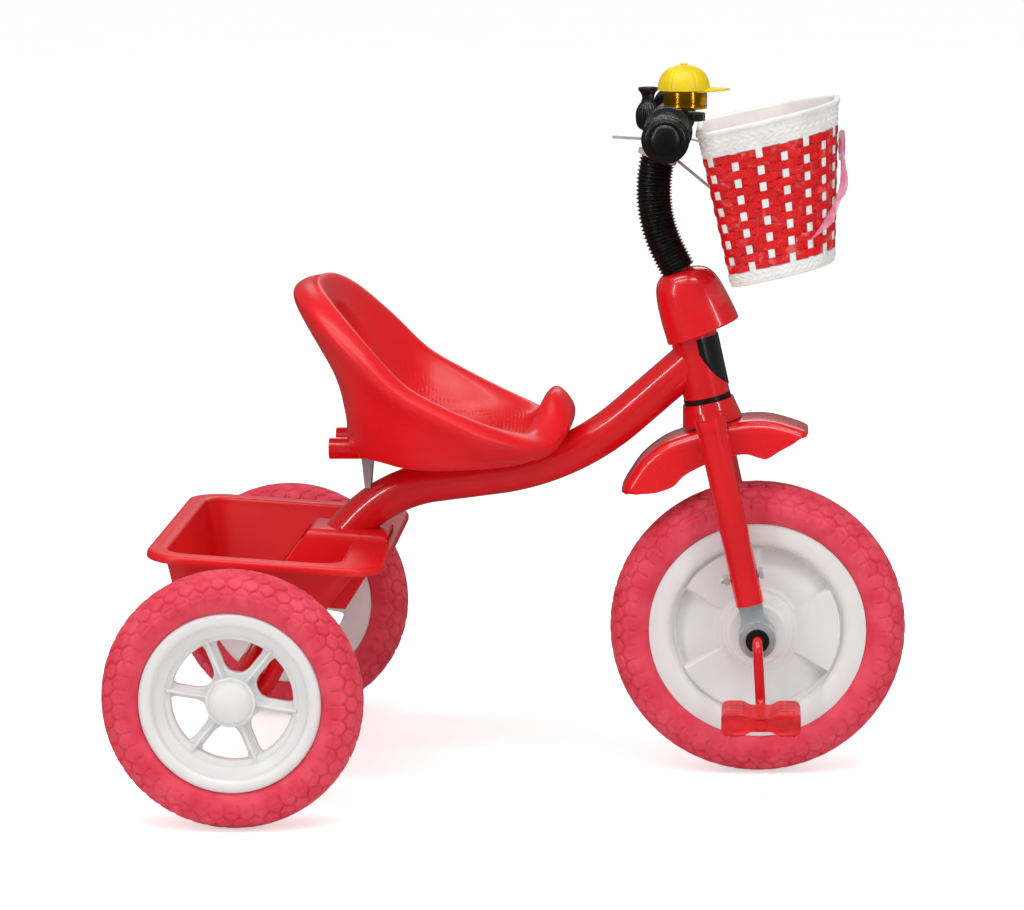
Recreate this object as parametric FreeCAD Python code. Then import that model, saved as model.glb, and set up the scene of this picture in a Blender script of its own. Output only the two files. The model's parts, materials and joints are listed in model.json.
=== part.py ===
import FreeCAD, Part
import math
import os

# A child's tricycle: a bent steel frame on three foam-tyred wheels, with a scoop seat, a bucket
# behind it, and a basket, a bell and a squeeze horn at the handlebar.
# Millimetres. X is forward, Y is the rider's left, Z is up. The origin is on the floor, midway
# along the outline.

# Driving dimensions: wheels and their places
FRONT_RADIUS = 127.0
REAR_RADIUS = 108.0
WHEELBASE = 429.0
REAR_TRACK = 400.0
REAR_AXLE_X = -224.0
FRONT_AXLE_X = REAR_AXLE_X + WHEELBASE
FRONT_RIM_RADIUS = 93.0
REAR_RIM_RADIUS = 75.6
FRONT_TYRE_HALF = 25.0
REAR_TYRE_HALF = 23.0

# Steering: the axis leans back and passes through the front axle
CASTER_DEG = 12.1
FORK_HALF = 47.0
FORK_TUBE_R = 12.25
FORK_FOOT = 30.0
CROWN_FOOT = 183.0
CROWN_TOP = 201.5
HEAD_FOOT = 206.0
HEAD_TOP = 283.0
HEAD_TUBE_R = 20.0
STEERER_R = 12.7
HANDLEBAR_X = 355.0
HANDLEBAR_Z = 561.0
HANDLEBAR_R = 11.0
GRIP_INNER = 84.0
GRIP_END = 180.0

# Frame tubes
MAIN_TUBE_R = 17.5
MAIN_TUBE_WALL = 1.8
AXLE_TUBE_R = 12.0
AXLE_R = 5.0
AXLE_TUBE_HALF = 172.5

# Drive
CRANK_ROD_R = 4.4
CRANK_LENGTH = 55.0
CRANK_LEAN_DEG = 3.0
CRANK_ARM_Y = 73.0
PEDAL_INNER_Y = 86.0
PEDAL_WIDTH = 50.0
PEDAL_LENGTH = 66.0
PEDAL_THICKNESS = 20.0

# Fits
RUNNING = 0.05
GAP = 0.4

V = FreeCAD.Vector
FORWARD = V(1, 0, 0)
LEFT = V(0, 1, 0)
UP = V(0, 0, 1)
ORIGIN = V(0, 0, 0)
SIDES = {"left": 1, "right": -1}


def save(name, shape):
    """Writes one node."""
    shape.exportStep("parts/" + name + ".step")


def from_rear_axle(shape):
    """Moves a shape drawn from the floor point under the rear axle to its place."""
    moved = shape.copy()
    moved.translate(V(REAR_AXLE_X, 0, 0))
    return moved


def from_front_axle(shape):
    """Moves a shape drawn about the front axle to its place."""
    moved = shape.copy()
    moved.translate(V(FRONT_AXLE_X, 0, FRONT_RADIUS))
    return moved


def from_steering(shape):
    """Leans a shape drawn with Z up the steering axis back, and moves it to the front axle."""
    moved = shape.copy()
    moved.rotate(ORIGIN, LEFT, -CASTER_DEG)
    return from_front_axle(moved)


def steering_xz(x, z):
    """A point given from the rear axle and the floor, in the steering frame."""
    lean = math.radians(CASTER_DEG)
    dx = x - WHEELBASE
    dz = z - FRONT_RADIUS
    return V(dx * math.cos(lean) + dz * math.sin(lean), 0, dz * math.cos(lean) - dx * math.sin(lean))


def rod(start, end, radius):
    """A round bar between two points."""
    axis = end - start
    return Part.makeCylinder(radius, axis.Length, start, axis)


def ring(start, end, outer, inner):
    """A round tube between two points."""
    axis = end - start
    reach = axis.normalize() * 1.0
    return rod(start, end, outer).cut(rod(start - reach, end + reach, inner))


def box(x0, x1, y0, y1, z0, z1):
    """A block between two corners."""
    return Part.makeBox(x1 - x0, y1 - y0, z1 - z0, V(x0, y0, z0))


def polygon(points):
    """A closed wire through points."""
    return Part.makePolygon(points + [points[0]])


def turned(profile):
    """A solid of revolution about Y, from (radius, y) corners."""
    face = Part.Face(polygon([V(r, y, 0) for r, y in profile]))
    return face.revolve(ORIGIN, LEFT, 360)


def turned_up(profile, centre=ORIGIN):
    """A solid of revolution about Z, from (radius, z) corners."""
    face = Part.Face(polygon([V(r, 0, z) for r, z in profile]))
    solid = face.revolve(ORIGIN, UP, 360)
    solid.translate(centre)
    return solid


def bent_wire(points, radii):
    """Straight runs through points, with a tangent arc of the given radius at each inner point."""
    edges = []
    start = points[0]
    for before, corner, after, radius in zip(points, points[1:], points[2:], radii):
        back = (before - corner).normalize()
        onward = (after - corner).normalize()
        half = back.getAngle(onward) / 2
        reach = radius / math.tan(half)
        arc_start = corner + back * reach
        arc_end = corner + onward * reach
        bisector = (back + onward).normalize()
        arc_middle = corner + bisector * (radius / math.sin(half) - radius)
        edges.append(Part.LineSegment(start, arc_start).toShape())
        edges.append(Part.Arc(arc_start, arc_middle, arc_end).toShape())
        start = arc_end
    edges.append(Part.LineSegment(start, points[-1]).toShape())
    return Part.Wire(edges)


def bent_rod(points, radii, radius):
    """A round bar swept along straight runs and tangent arcs."""
    path = bent_wire(points, radii)
    circle = Part.Wire([Part.Circle(points[0], points[1] - points[0], radius).toShape()])
    return path.makePipeShell([circle], True, False)


def bent_tube(points, radii, outer, inner):
    """A round tube along straight runs and tangent arcs."""
    return bent_rod(points, radii, outer).cut(bent_rod(points, radii, inner))


def rounded_outline(x0, x1, half, z, back_radius, front_radius):
    """A closed rectangle in a level plane, with one corner radius at the back and one in front."""
    corners = [
        (x0, -half, 1, 1, back_radius, 180),
        (x1, -half, -1, 1, front_radius, 270),
        (x1, half, -1, -1, front_radius, 0),
        (x0, half, 1, -1, back_radius, 90),
    ]
    arcs = []
    for x, y, dx, dy, radius, angle in corners:
        centre = V(x + dx * radius, y + dy * radius, z)
        circle = Part.Circle(centre, UP, radius)
        arcs.append(circle.trim(math.radians(angle), math.radians(angle + 90)).toShape())
    edges = []
    for arc, following in zip(arcs, arcs[1:] + arcs[:1]):
        edges.append(arc)
        edges.append(Part.LineSegment(arc.Vertexes[-1].Point, following.Vertexes[0].Point).toShape())
    return Part.Wire(edges)


def mirrored_loop(half_points):
    """A closed smooth edge through points of the left half, front to back, mirrored to the right."""
    points = [V(*p) for p in half_points]
    mirrored = [V(p.x, -p.y, p.z) for p in reversed(points[1:-1])]
    curve = Part.BSplineCurve()
    curve.interpolate(Points=points + mirrored, PeriodicFlag=True)
    return curve.toShape()


def skinned(loops):
    """A solid of ruled bands between closed edges, with flat ends."""
    bands = [Part.makeRuledSurface(lower, upper) for lower, upper in zip(loops, loops[1:])]
    ends = [Part.Face(Part.Wire([loops[0]])), Part.Face(Part.Wire([loops[-1]]))]
    shell = Part.Shell(bands + ends)
    shell.sewShape()
    solid = Part.Solid(shell)
    if solid.Volume < 0:
        solid.reverse()
    return solid


def hex_prism(start, axis, across, height):
    """A hexagonal bolt head or nut, standing on start."""
    corner_radius = across / math.sqrt(3)
    direction = V(axis).normalize()
    side = direction.cross(LEFT if abs(direction.y) < 0.9 else UP).normalize()
    other = direction.cross(side)
    corners = []
    for k in range(6):
        angle = math.radians(60 * k)
        along = side * (corner_radius * math.cos(angle))
        corners.append(start + along + other * (corner_radius * math.sin(angle)))
    return Part.Face(polygon(corners)).extrude(direction * height)


# ---------------------------------------------------------------- frame

MAIN_TUBE_PATH = [V(1, 0, 109.5), V(62.5, 0, 197), V(111.5, 0, 248), V(269, 0, 268.4), V(377, 0, 362.3)]
MAIN_TUBE_BENDS = [90.0, 118.0, 215.0]
SEAT_BOLT_X = (143.0, 196.0)
SEAT_BOLT_R = 3.0
SOCKET_Y = 28.0
SOCKET_Z = 287.0
SOCKET_R = 9.15
SOCKET_BORE_R = 7.5
SOCKET_X = (64.0, 112.0)
SOCKET_DEPTH = 40.0


def seat_bolt_shanks(radius):
    """The shanks of the two bolts that hold the seat to the main tube."""
    shanks = [rod(V(x, 0, 240), V(x, 0, 291), radius) for x in SEAT_BOLT_X]
    return shanks[0].fuse(shanks[1])


def main_tube():
    """The bent tube from the rear axle tube, through the bucket and under the seat, to the head tube."""
    tube = bent_tube(MAIN_TUBE_PATH, MAIN_TUBE_BENDS, MAIN_TUBE_R, MAIN_TUBE_R - MAIN_TUBE_WALL)
    tube = tube.cut(rod(V(0, -60, REAR_RADIUS), V(0, 60, REAR_RADIUS), AXLE_TUBE_R))
    tube = from_rear_axle(tube.cut(seat_bolt_shanks(SEAT_BOLT_R)))
    bore = from_steering(rod(V(0, 0, HEAD_FOOT - 20), V(0, 0, HEAD_TOP + 20), HEAD_TUBE_R))
    return largest(tube.cut(bore))


def largest(shape):
    """The biggest solid of a shape that a cut may have left in pieces."""
    return max(shape.Solids, key=lambda solid: solid.Volume)


def head_tube():
    """The short tube that holds the steering bearings."""
    return ring(V(0, 0, HEAD_FOOT), V(0, 0, HEAD_TOP), HEAD_TUBE_R, 17.5)


def head_badge():
    """A plain shield-shaped plate that wraps the front of the head tube."""
    edge = [(19.9, 257), (19.9, 243), (19.4, 236), (18.2, 229), (16.0, 223), (12.0, 218), (7.0, 214.5)]
    right = [V(0, y, z) for y, z in reversed(edge)]
    left = [V(0, -y, z) for y, z in edge]
    shield = polygon(left + [V(0, 0, 212)] + right)
    cutter = Part.Face(shield).extrude(V(40, 0, 0))
    shell = ring(V(0, 0, 207), V(0, 0, 258), HEAD_TUBE_R + 0.9, HEAD_TUBE_R)
    return largest(shell.common(cutter))


def headset_cup(flange_foot, flange_top, sleeve_foot, sleeve_top):
    """A bearing cup: a flange outside the head tube and a sleeve pressed into it."""
    flange = rod(V(0, 0, flange_foot), V(0, 0, flange_top), HEAD_TUBE_R + 0.4)
    sleeve = rod(V(0, 0, sleeve_foot), V(0, 0, sleeve_top), 17.5)
    bore = rod(V(0, 0, sleeve_foot - 20), V(0, 0, sleeve_top + 20), STEERER_R + RUNNING)
    return flange.fuse(sleeve).cut(bore).removeSplitter()


def rear_axle_tube():
    """The cross tube under the bucket, with a thick end that carries the axle at each side."""
    start = V(0, -AXLE_TUBE_HALF, REAR_RADIUS)
    end = V(0, AXLE_TUBE_HALF, REAR_RADIUS)
    inset = V(0, 8, 0)
    hollow = rod(start + inset, end - inset, AXLE_TUBE_R - 1.6)
    return rod(start, end, AXLE_TUBE_R).cut(hollow).cut(rod(start - inset, end + inset, AXLE_R))


def rear_axle():
    """The plain steel axle, one rod from wheel to wheel."""
    reach = REAR_TRACK / 2 + 13
    return rod(V(0, -reach, REAR_RADIUS), V(0, reach, REAR_RADIUS), AXLE_R)


def axle_fasteners():
    """A washer inside each rear wheel and a lock nut outside it."""
    solids = []
    for side in SIDES.values():
        washer_in = side * AXLE_TUBE_HALF
        washer_out = side * (REAR_TRACK / 2 - 24.4)
        solids.append(ring(V(0, washer_in, REAR_RADIUS), V(0, washer_out, REAR_RADIUS), 11, AXLE_R))
        nut_foot = V(0, side * (REAR_TRACK / 2 + 8.4), REAR_RADIUS)
        nut = hex_prism(nut_foot, V(0, side, 0), 12, 4)
        solids.append(nut.cut(rod(nut_foot - V(0, side, 0), nut_foot + V(0, side * 6, 0), AXLE_R)))
    return Part.makeCompound(solids)


STAY_Y = 96.0
STAY_R = 7.0
STAY_TOP = 146.0


def rear_stay(side):
    """A V of bent tube that cradles the axle tube and carries the bucket's floor."""
    y = side * STAY_Y
    offset = AXLE_TUBE_R + STAY_R
    back = math.radians(55)
    front = math.radians(62)
    rise = STAY_TOP - REAR_RADIUS
    back_foot_x = -offset / math.sin(back)
    front_foot_x = offset / math.sin(front)
    slope_back = math.tan(back)
    slope_front = math.tan(front)
    apex_x = (slope_front * front_foot_x + slope_back * back_foot_x) / (slope_back + slope_front)
    apex_z = slope_front * (apex_x - front_foot_x)
    points = [
        V(back_foot_x - rise / slope_back, y, STAY_TOP),
        V(apex_x, y, REAR_RADIUS + apex_z),
        V(front_foot_x + rise / slope_front, y, STAY_TOP),
    ]
    stay = bent_rod(points, [offset], STAY_R)
    stay = stay.cut(box(-120, 120, y - 20, y + 20, STAY_TOP - 2, STAY_TOP + 20))
    return largest(stay.cut(rod(V(0, y - 30, REAR_RADIUS), V(0, y + 30, REAR_RADIUS), AXLE_TUBE_R)))


def bucket_screws():
    """Four screws that hold the bucket's floor down on the stays."""
    screws = []
    for side in SIDES.values():
        for x in (-44.0, 37.0):
            foot = V(x, side * STAY_Y, BUCKET_FLOOR_Z + bucket_drop(x) + 3.2)
            screws.append(turned_up([(0, 0), (5, 0), (4.2, 1.8), (0, 2.6)], foot))
    return Part.makeCompound(screws)


# ---------------------------------------------------------------- bucket

BUCKET_TILT_DEG = 4.0
BUCKET_CENTRE_X = 18.0
BUCKET_RIM_Z = 211.0
BUCKET_DEPTH = 60.0
BUCKET_WALL = 2.6
BUCKET_FLOOR_Z = BUCKET_RIM_Z - BUCKET_DEPTH
BUCKET_RIM = (-99.0, 100.0, 148.0)
BUCKET_RIM_THICKNESS = 3.0
BUCKET_LIP = 7.0
BUCKET_MOUTH = (-83.4, 65.0, 129.4)
BUCKET_FLOOR = (-69.4, 40.0, 109.4)
BUCKET_LEDGE = 18.0
TUNNEL_HALF = 30.0
TUNNEL_TOP = 8.0


def bucket_drop(x):
    """How far the tilted bucket's floor stands above its middle at x."""
    return -(x - BUCKET_CENTRE_X) * math.tan(math.radians(BUCKET_TILT_DEG))


def bucket():
    """A tapered tray with a wide turned-down rim and a tunnel that the main tube rises through."""
    x0, x1, half = BUCKET_MOUTH
    f0, f1, floor_half = BUCKET_FLOOR
    r0, r1, rim_half = BUCKET_RIM
    wall = BUCKET_WALL
    outer = Part.makeLoft([
        rounded_outline(f0 - wall, f1 + wall, floor_half + wall, -BUCKET_DEPTH, 20, 20),
        rounded_outline(x0 - wall, x1 + BUCKET_LEDGE, half + wall, 0, 24, 24),
    ], True, True)
    inner = Part.makeLoft([
        rounded_outline(f0, f1, floor_half, -BUCKET_DEPTH + BUCKET_RIM_THICKNESS, 18, 18),
        rounded_outline(x0, x1, half, 1, 22, 22),
    ], True, True)
    rim_foot = -BUCKET_RIM_THICKNESS
    rim = Part.Face(rounded_outline(r0, r1, rim_half, rim_foot, 34, 34)).extrude(UP * BUCKET_RIM_THICKNESS)
    lip_height = BUCKET_LIP + rim_foot
    lip = Part.Face(rounded_outline(r0, r1, rim_half, -BUCKET_LIP, 34, 34)).extrude(UP * lip_height)
    lip_space = rounded_outline(r0 + 3, r1 - 3, rim_half - 3, -BUCKET_LIP - 1, 31, 31)
    lip = lip.cut(Part.Face(lip_space).extrude(UP * (lip_height + 1)))
    shell = outer.fuse(rim).fuse(lip).cut(inner)
    tunnel_outer = tunnel(TUNNEL_HALF, TUNNEL_TOP, 0.0)
    tunnel_inner = tunnel(TUNNEL_HALF - wall, TUNNEL_TOP - wall, wall)
    ahead_of_front = polygon([V(x1 + 29, -60, 10), V(x1 + 29, -60, rim_foot), V(x1 - 9, -60, -70),
                              V(200, -60, -70), V(200, -60, 10)])
    tunnel_outer = tunnel_outer.cut(Part.Face(ahead_of_front).extrude(LEFT * 120))
    shell = shell.fuse(tunnel_outer).cut(tunnel_inner).removeSplitter()
    shell.rotate(ORIGIN, LEFT, BUCKET_TILT_DEG)
    shell.translate(V(BUCKET_CENTRE_X, 0, BUCKET_RIM_Z))
    return largest(shell.cut(bent_rod(MAIN_TUBE_PATH, MAIN_TUBE_BENDS, MAIN_TUBE_R + GAP)))


def tunnel(half_width, top, inset):
    """The block of space that the tunnel takes, with a back that slopes like the tube."""
    profile = polygon([
        V(-18 + inset * 1.25, -half_width, -BUCKET_DEPTH - inset),
        V(26 + inset, -half_width, top),
        V(130, -half_width, top),
        V(130, -half_width, -BUCKET_DEPTH - inset),
    ])
    return Part.Face(profile).extrude(V(0, 2 * half_width, 0))


# ---------------------------------------------------------------- seat

# Loops round the seat, each from the middle of the front to the middle of the back: the edge of
# the pan, the inner wall, the inner shoulder, the crest, the rolled edge, the wall and the foot.
SEAT_PAN = [(232, 0), (226, 22), (216, 40), (203, 54), (188, 62), (172, 66),
            (155, 66), (140, 62), (128, 52), (119, 38), (113, 20), (111, 0)]
SEAT_INNER = [(243, 0, 308), (239, 22, 305), (228, 42, 298), (214, 60, 297), (198, 74, 300), (180, 83, 306),
              (158, 88, 314), (138, 89, 324), (120, 84, 338), (102, 68, 352), (90, 42, 360), (86, 0, 362)]
SEAT_SHOULDER = [(248, 0, 328), (246, 22, 325), (240, 42, 312), (231, 62, 304), (216, 81, 308), (194, 94, 318),
                 (167, 102, 332), (138, 105, 350), (110, 100, 379), (84, 80, 406), (68, 48, 420), (62, 0, 424)]
SEAT_CREST = [(260, 0, 335), (257, 24, 332), (252, 47, 317), (243, 70, 307), (226, 92, 311), (200, 106, 321),
              (170, 114, 335), (137, 117, 354), (105, 112, 385), (76, 92, 413), (58, 56, 427), (50, 0, 430)]
SEAT_ROLL = [(273, 0, 318), (270, 28, 315), (265, 54, 304), (254, 80, 297), (233, 104, 300), (202, 118, 310),
             (169, 124, 325), (133, 127, 344), (96, 121, 375), (62, 99, 403), (42, 58, 415), (34, 0, 417)]
SEAT_WALL = [(268, 0, 298), (263, 27, 292), (256, 50, 287), (243, 73, 285), (221, 92, 288), (194, 105, 296),
             (163, 111, 309), (132, 112, 323), (104, 103, 337), (83, 82, 349), (71, 48, 355), (67, 0, 357)]
SEAT_SKIRT = [(254, 0, 285), (250, 28, 283), (244, 49, 282), (233, 68, 282), (214, 83, 284), (190, 93, 287),
              (162, 98, 292), (134, 98, 298), (111, 90, 306), (91, 71, 315), (80, 42, 319), (76, 0, 320)]
SEAT_FOOT = [(238, 0), (235, 26), (229, 46), (219, 62), (203, 74), (182, 81),
             (159, 84), (135, 83), (114, 76), (97, 60), (85, 34), (81, 0)]
SEAT_PAN_Z = 291.0
SEAT_FOOT_Z = 277.0
# The seat's underside rises towards the back along these places (x, z).
SEAT_UNDERSIDE = [(150, 277), (128, 280), (111, 283.5), (60, 284.5), (60, 270), (150, 270)]
BRACKET_HALF = 9.0
BRACKET_TOP = 287.0
BRACKET_FOOT = 249.0


def seat():
    """The scoop seat: one loft from the pan over the rolled edge to the foot, less what it sits on."""
    pan = [(x, y, SEAT_PAN_Z) for x, y in SEAT_PAN]
    foot = [(x, y, SEAT_FOOT_Z) for x, y in SEAT_FOOT]
    loops = [pan, SEAT_INNER, SEAT_SHOULDER, SEAT_CREST, SEAT_ROLL, SEAT_WALL, SEAT_SKIRT, foot]
    body = skinned([mirrored_loop(points) for points in loops])
    body = body.cut(bent_rod(MAIN_TUBE_PATH, MAIN_TUBE_BENDS, MAIN_TUBE_R + GAP))
    body = body.cut(seat_bolt_shanks(SEAT_BOLT_R))
    underside = polygon([V(x, -100, z) for x, z in SEAT_UNDERSIDE])
    body = body.cut(Part.Face(underside).extrude(LEFT * 200)).cut(seat_bracket_blank())
    for side in SIDES.values():
        start = V(SOCKET_X[0] - 20, side * SOCKET_Y, SOCKET_Z)
        body = body.cut(rod(start, V(SOCKET_X[1], side * SOCKET_Y, SOCKET_Z), SOCKET_R))
    return largest(body)


def push_bar_socket(side):
    """A blind round socket under the back of the seat, where a push bar's end slides in."""
    y = side * SOCKET_Y
    start = V(SOCKET_X[0], y, SOCKET_Z)
    body = rod(start, V(SOCKET_X[1], y, SOCKET_Z), SOCKET_R)
    return body.cut(rod(start - FORWARD, start + FORWARD * SOCKET_DEPTH, SOCKET_BORE_R))


def seat_bracket_blank():
    """The bracket's outer shape, before it is hollowed and fitted to the tube."""
    side_view = polygon([V(88, -BRACKET_HALF, BRACKET_TOP), V(100, -BRACKET_HALF, BRACKET_TOP),
                         V(96.5, -BRACKET_HALF, BRACKET_FOOT), V(91.5, -BRACKET_HALF, BRACKET_FOOT)])
    return Part.Face(side_view).extrude(LEFT * (2 * BRACKET_HALF))


def seat_bracket():
    """A tapered pressed strut between the main tube and the back of the seat."""
    web = BRACKET_HALF - 2.0
    strut = seat_bracket_blank().cut(box(60, 94, -web, web, 200, BRACKET_TOP - 3))
    return largest(strut.cut(bent_rod(MAIN_TUBE_PATH, MAIN_TUBE_BENDS, MAIN_TUBE_R)))


def seat_bolts():
    """Two round-headed bolts through the seat pan into the main tube."""
    heads = []
    for x in SEAT_BOLT_X:
        shank = rod(V(x, 0, 252), V(x, 0, SEAT_PAN_Z), SEAT_BOLT_R)
        heads.append(shank.fuse(turned_up([(0, 0), (7, 0), (5.5, 2.2), (0, 3)], V(x, 0, SEAT_PAN_Z))))
    return Part.makeCompound(heads)


# ---------------------------------------------------------------- rear wheels

def tyre(radius, rim_radius, half):
    """A foam tyre: a flat seat on the rim, bulged sides and a round crown."""
    depth = radius - rim_radius
    points = [V(rim_radius, -half + 5, 0), V(rim_radius + 0.45 * depth, -half, 0),
              V(radius - 5, -half + 11, 0)]
    side_a = Part.Arc(points[0], points[1], points[2]).toShape()
    crown = Part.Arc(points[2], V(radius, 0, 0), V(radius - 5, half - 11, 0)).toShape()
    mirrored = [V(p.x, -p.y, 0) for p in points]
    side_b = Part.Arc(mirrored[2], mirrored[1], mirrored[0]).toShape()
    seat_line = Part.LineSegment(mirrored[0], points[0]).toShape()
    face = Part.Face(Part.Wire([side_a, crown, side_b, seat_line]))
    return face.revolve(ORIGIN, LEFT, 360)


SPOKES = 6
SPOKE_START_DEG = 51.0
SPOKE_WIDTH = 10.5
SPOKE_WEB = 5.0
SPOKE_FIN = 8.0
SPOKE_FIN_HALF = 1.4
REAR_HUB_R = 18.5
BUSHING_R = 8.0


def rear_rim():
    """An open six-spoke wheel, drawn with its outer face towards -Y and its middle at the origin."""
    barrel = turned([(REAR_RIM_RADIUS, -18), (REAR_RIM_RADIUS, 18), (66, 18), (63, 16), (52, 6), (50, 0),
                     (52, -8), (63, -16), (66, -18)])
    hub = rod(V(0, -9.5, 0), V(0, 24, 0), REAR_HUB_R)
    wheel = barrel.fuse(hub)
    for k in range(SPOKES):
        web = box(REAR_HUB_R - 4, 54, 0, SPOKE_WEB, -SPOKE_WIDTH / 2, SPOKE_WIDTH / 2)
        fin = box(REAR_HUB_R - 4, 54, -SPOKE_FIN, 1, -SPOKE_FIN_HALF, SPOKE_FIN_HALF)
        spoke = web.fuse(fin)
        spoke.rotate(ORIGIN, LEFT, -(SPOKE_START_DEG + 60 * k))
        wheel = wheel.fuse(spoke)
    return largest(wheel.cut(rod(V(0, -30, 0), V(0, 40, 0), BUSHING_R)).removeSplitter())


def rear_bushing():
    """A plain bush pressed into the hub, running on the axle."""
    return ring(V(0, -8, 0), V(0, 24, 0), BUSHING_R, AXLE_R + RUNNING)


def hub_cap():
    """A domed cap over the axle nut."""
    dome = turned([(0, -21.5), (5, -21.2), (10, -20), (14.5, -17.6), (17, -14.6), (18, -14.4), (20.5, -13.4),
                   (20.5, -9.5), (15, -9.5), (15, -13.6), (12, -16.4), (0, -18.4)])
    return dome


def rear_wheel_place(shape, side):
    """Puts a rear wheel's piece on its side, with its outer face outwards."""
    placed = shape.copy()
    if side > 0:
        placed = placed.mirror(ORIGIN, LEFT)
    placed.translate(V(0, side * REAR_TRACK / 2, REAR_RADIUS))
    return from_rear_axle(placed)


# ---------------------------------------------------------------- front wheel

def front_rim():
    """A closed disc wheel with a stepped hub."""
    half_profile = [(CRANK_ROD_R, 33.5), (20, 33.5), (26, 31), (26, 24), (30.5, 22), (30.5, 16), (33, 12),
                    (70, 8), (72, 17), (78, 20), (FRONT_RIM_RADIUS, 20)]
    profile = half_profile + [(r, -y) for r, y in reversed(half_profile)]
    return turned(profile)


def crank():
    """One bent rod: axle, two opposite arms and two pedal spindles."""
    lean = math.radians(CRANK_LEAN_DEG)
    arm = V(math.sin(lean), 0, -math.cos(lean)) * CRANK_LENGTH
    arm_y = LEFT * CRANK_ARM_Y
    spindle_y = LEFT * (PEDAL_INNER_Y + PEDAL_WIDTH + 1.5)
    points = [arm - spindle_y, arm - arm_y, -arm_y, arm_y, arm_y - arm, spindle_y - arm]
    return bent_rod(points, [9.0] * 4, CRANK_ROD_R)


def pedal(side):
    """A block pedal that turns on the crank's spindle; the right one is down and the left one up."""
    lean = math.radians(CRANK_LEAN_DEG)
    centre = V(math.sin(lean), 0, -math.cos(lean)) * (-side * CRANK_LENGTH)
    half_length = PEDAL_LENGTH / 2
    half_thickness = PEDAL_THICKNESS / 2
    waist = half_thickness - 3.0
    corners = [(-half_length, -half_thickness + 2), (-half_length, half_thickness - 2),
               (-half_length + 3, half_thickness), (-14, half_thickness), (-9, waist), (9, waist),
               (14, half_thickness), (half_length - 3, half_thickness), (half_length, half_thickness - 2),
               (half_length, -half_thickness + 2), (half_length - 3, -half_thickness), (14, -half_thickness),
               (9, -waist), (-9, -waist), (-14, -half_thickness), (-half_length + 3, -half_thickness)]
    block = Part.Face(polygon([V(x, 0, z) for x, z in corners])).extrude(V(0, PEDAL_WIDTH, 0))
    block = block.cut(rod(V(0, -1, 0), V(0, PEDAL_WIDTH + 1, 0), CRANK_ROD_R + RUNNING))
    if side < 0:
        block = block.mirror(ORIGIN, LEFT)
    block.translate(centre + LEFT * (side * PEDAL_INNER_Y))
    return block


# ---------------------------------------------------------------- fork and steering column

BOLT_UP = 54.0
BOLT_R = 2.5
DROPOUT_RING_R = 15.6
BUSH_R = 9.0
BUSH_COLLAR_R = 10.0
DROPOUT_Y = (36.0, 61.0)


def fork_crown():
    """The block that joins the two fork legs to the steerer."""
    boss = Part.makeCone(26, 22, CROWN_TOP - CROWN_FOOT, V(0, 0, CROWN_FOOT), UP)
    legs = [rod(V(0, y, CROWN_FOOT), V(0, y, CROWN_FOOT + 11), FORK_TUBE_R + 0.9)
            for y in (-FORK_HALF, FORK_HALF)]
    bridge = box(-FORK_TUBE_R - 0.9, FORK_TUBE_R + 0.9, -FORK_HALF, FORK_HALF, CROWN_FOOT, CROWN_FOOT + 11)
    crown = boss.fuse(bridge).fuse(legs[0]).fuse(legs[1])
    crown = crown.cut(rod(V(0, 0, CROWN_FOOT - 1), V(0, 0, CROWN_TOP + 1), STEERER_R)).removeSplitter()
    return largest(crown.cut(fender_screw_shank()))


def cross_bolt_hole(y):
    """The hole for the bolt that ties a dropout into its leg."""
    return rod(V(-30, y, BOLT_UP), V(30, y, BOLT_UP), BOLT_R)


def fork_leg(side):
    """A straight fork tube, open at its foot."""
    y = side * FORK_HALF
    tube = ring(V(0, y, FORK_FOOT), V(0, y, CROWN_FOOT), FORK_TUBE_R, FORK_TUBE_R - 1.6)
    return tube.cut(cross_bolt_hole(y))


def dropout(side):
    """A forged end: a plug inside the leg that narrows to a ring round the axle."""
    y = side * FORK_HALF
    plug = rod(V(0, y, FORK_FOOT - 2), V(0, y, 66), FORK_TUBE_R - 1.6)
    neck = [(-10.6, FORK_FOOT), (-9.6, 20), (-12, 11), (-12.5, 0),
            (12.5, 0), (12, 11), (9.6, 20), (10.6, FORK_FOOT)]
    shank = Part.Face(polygon([V(x, y - 6, z) for x, z in neck])).extrude(LEFT * 12)
    boss = rod(LEFT * (side * DROPOUT_Y[0]), LEFT * (side * DROPOUT_Y[1]), DROPOUT_RING_R)
    end = plug.fuse(shank).fuse(boss)
    end = end.cut(rod(LEFT * (side * 30), LEFT * (side * 70), BUSH_R))
    return largest(end.cut(cross_bolt_hole(y)).removeSplitter())


def crank_bushes():
    """A black bush in each dropout ring, running on the crank's axle."""
    bushes = []
    for side in SIDES.values():
        sleeve = rod(LEFT * (side * DROPOUT_Y[0]), LEFT * (side * DROPOUT_Y[1]), BUSH_R)
        collar = rod(LEFT * (side * DROPOUT_Y[1]), LEFT * (side * (DROPOUT_Y[1] + 2)), BUSH_COLLAR_R)
        bore = rod(LEFT * (side * 30), LEFT * (side * 70), CRANK_ROD_R + RUNNING)
        bushes.append(sleeve.fuse(collar).cut(bore).removeSplitter())
    return Part.makeCompound(bushes)


def dropout_bolts():
    """A cross bolt with its nut in each leg."""
    solids = []
    for side in SIDES.values():
        y = side * FORK_HALF
        bolt = rod(V(-20, y, BOLT_UP), V(13.2, y, BOLT_UP), BOLT_R)
        solids.append(bolt.fuse(hex_prism(V(13.0, y, BOLT_UP), FORWARD, 8.5, 3.6)))
        nut = hex_prism(V(-13.0, y, BOLT_UP), -FORWARD, 8.5, 4.2)
        solids.append(nut.cut(rod(V(-30, y, BOLT_UP), V(-10, y, BOLT_UP), BOLT_R)))
    return Part.makeCompound(solids)


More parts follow.
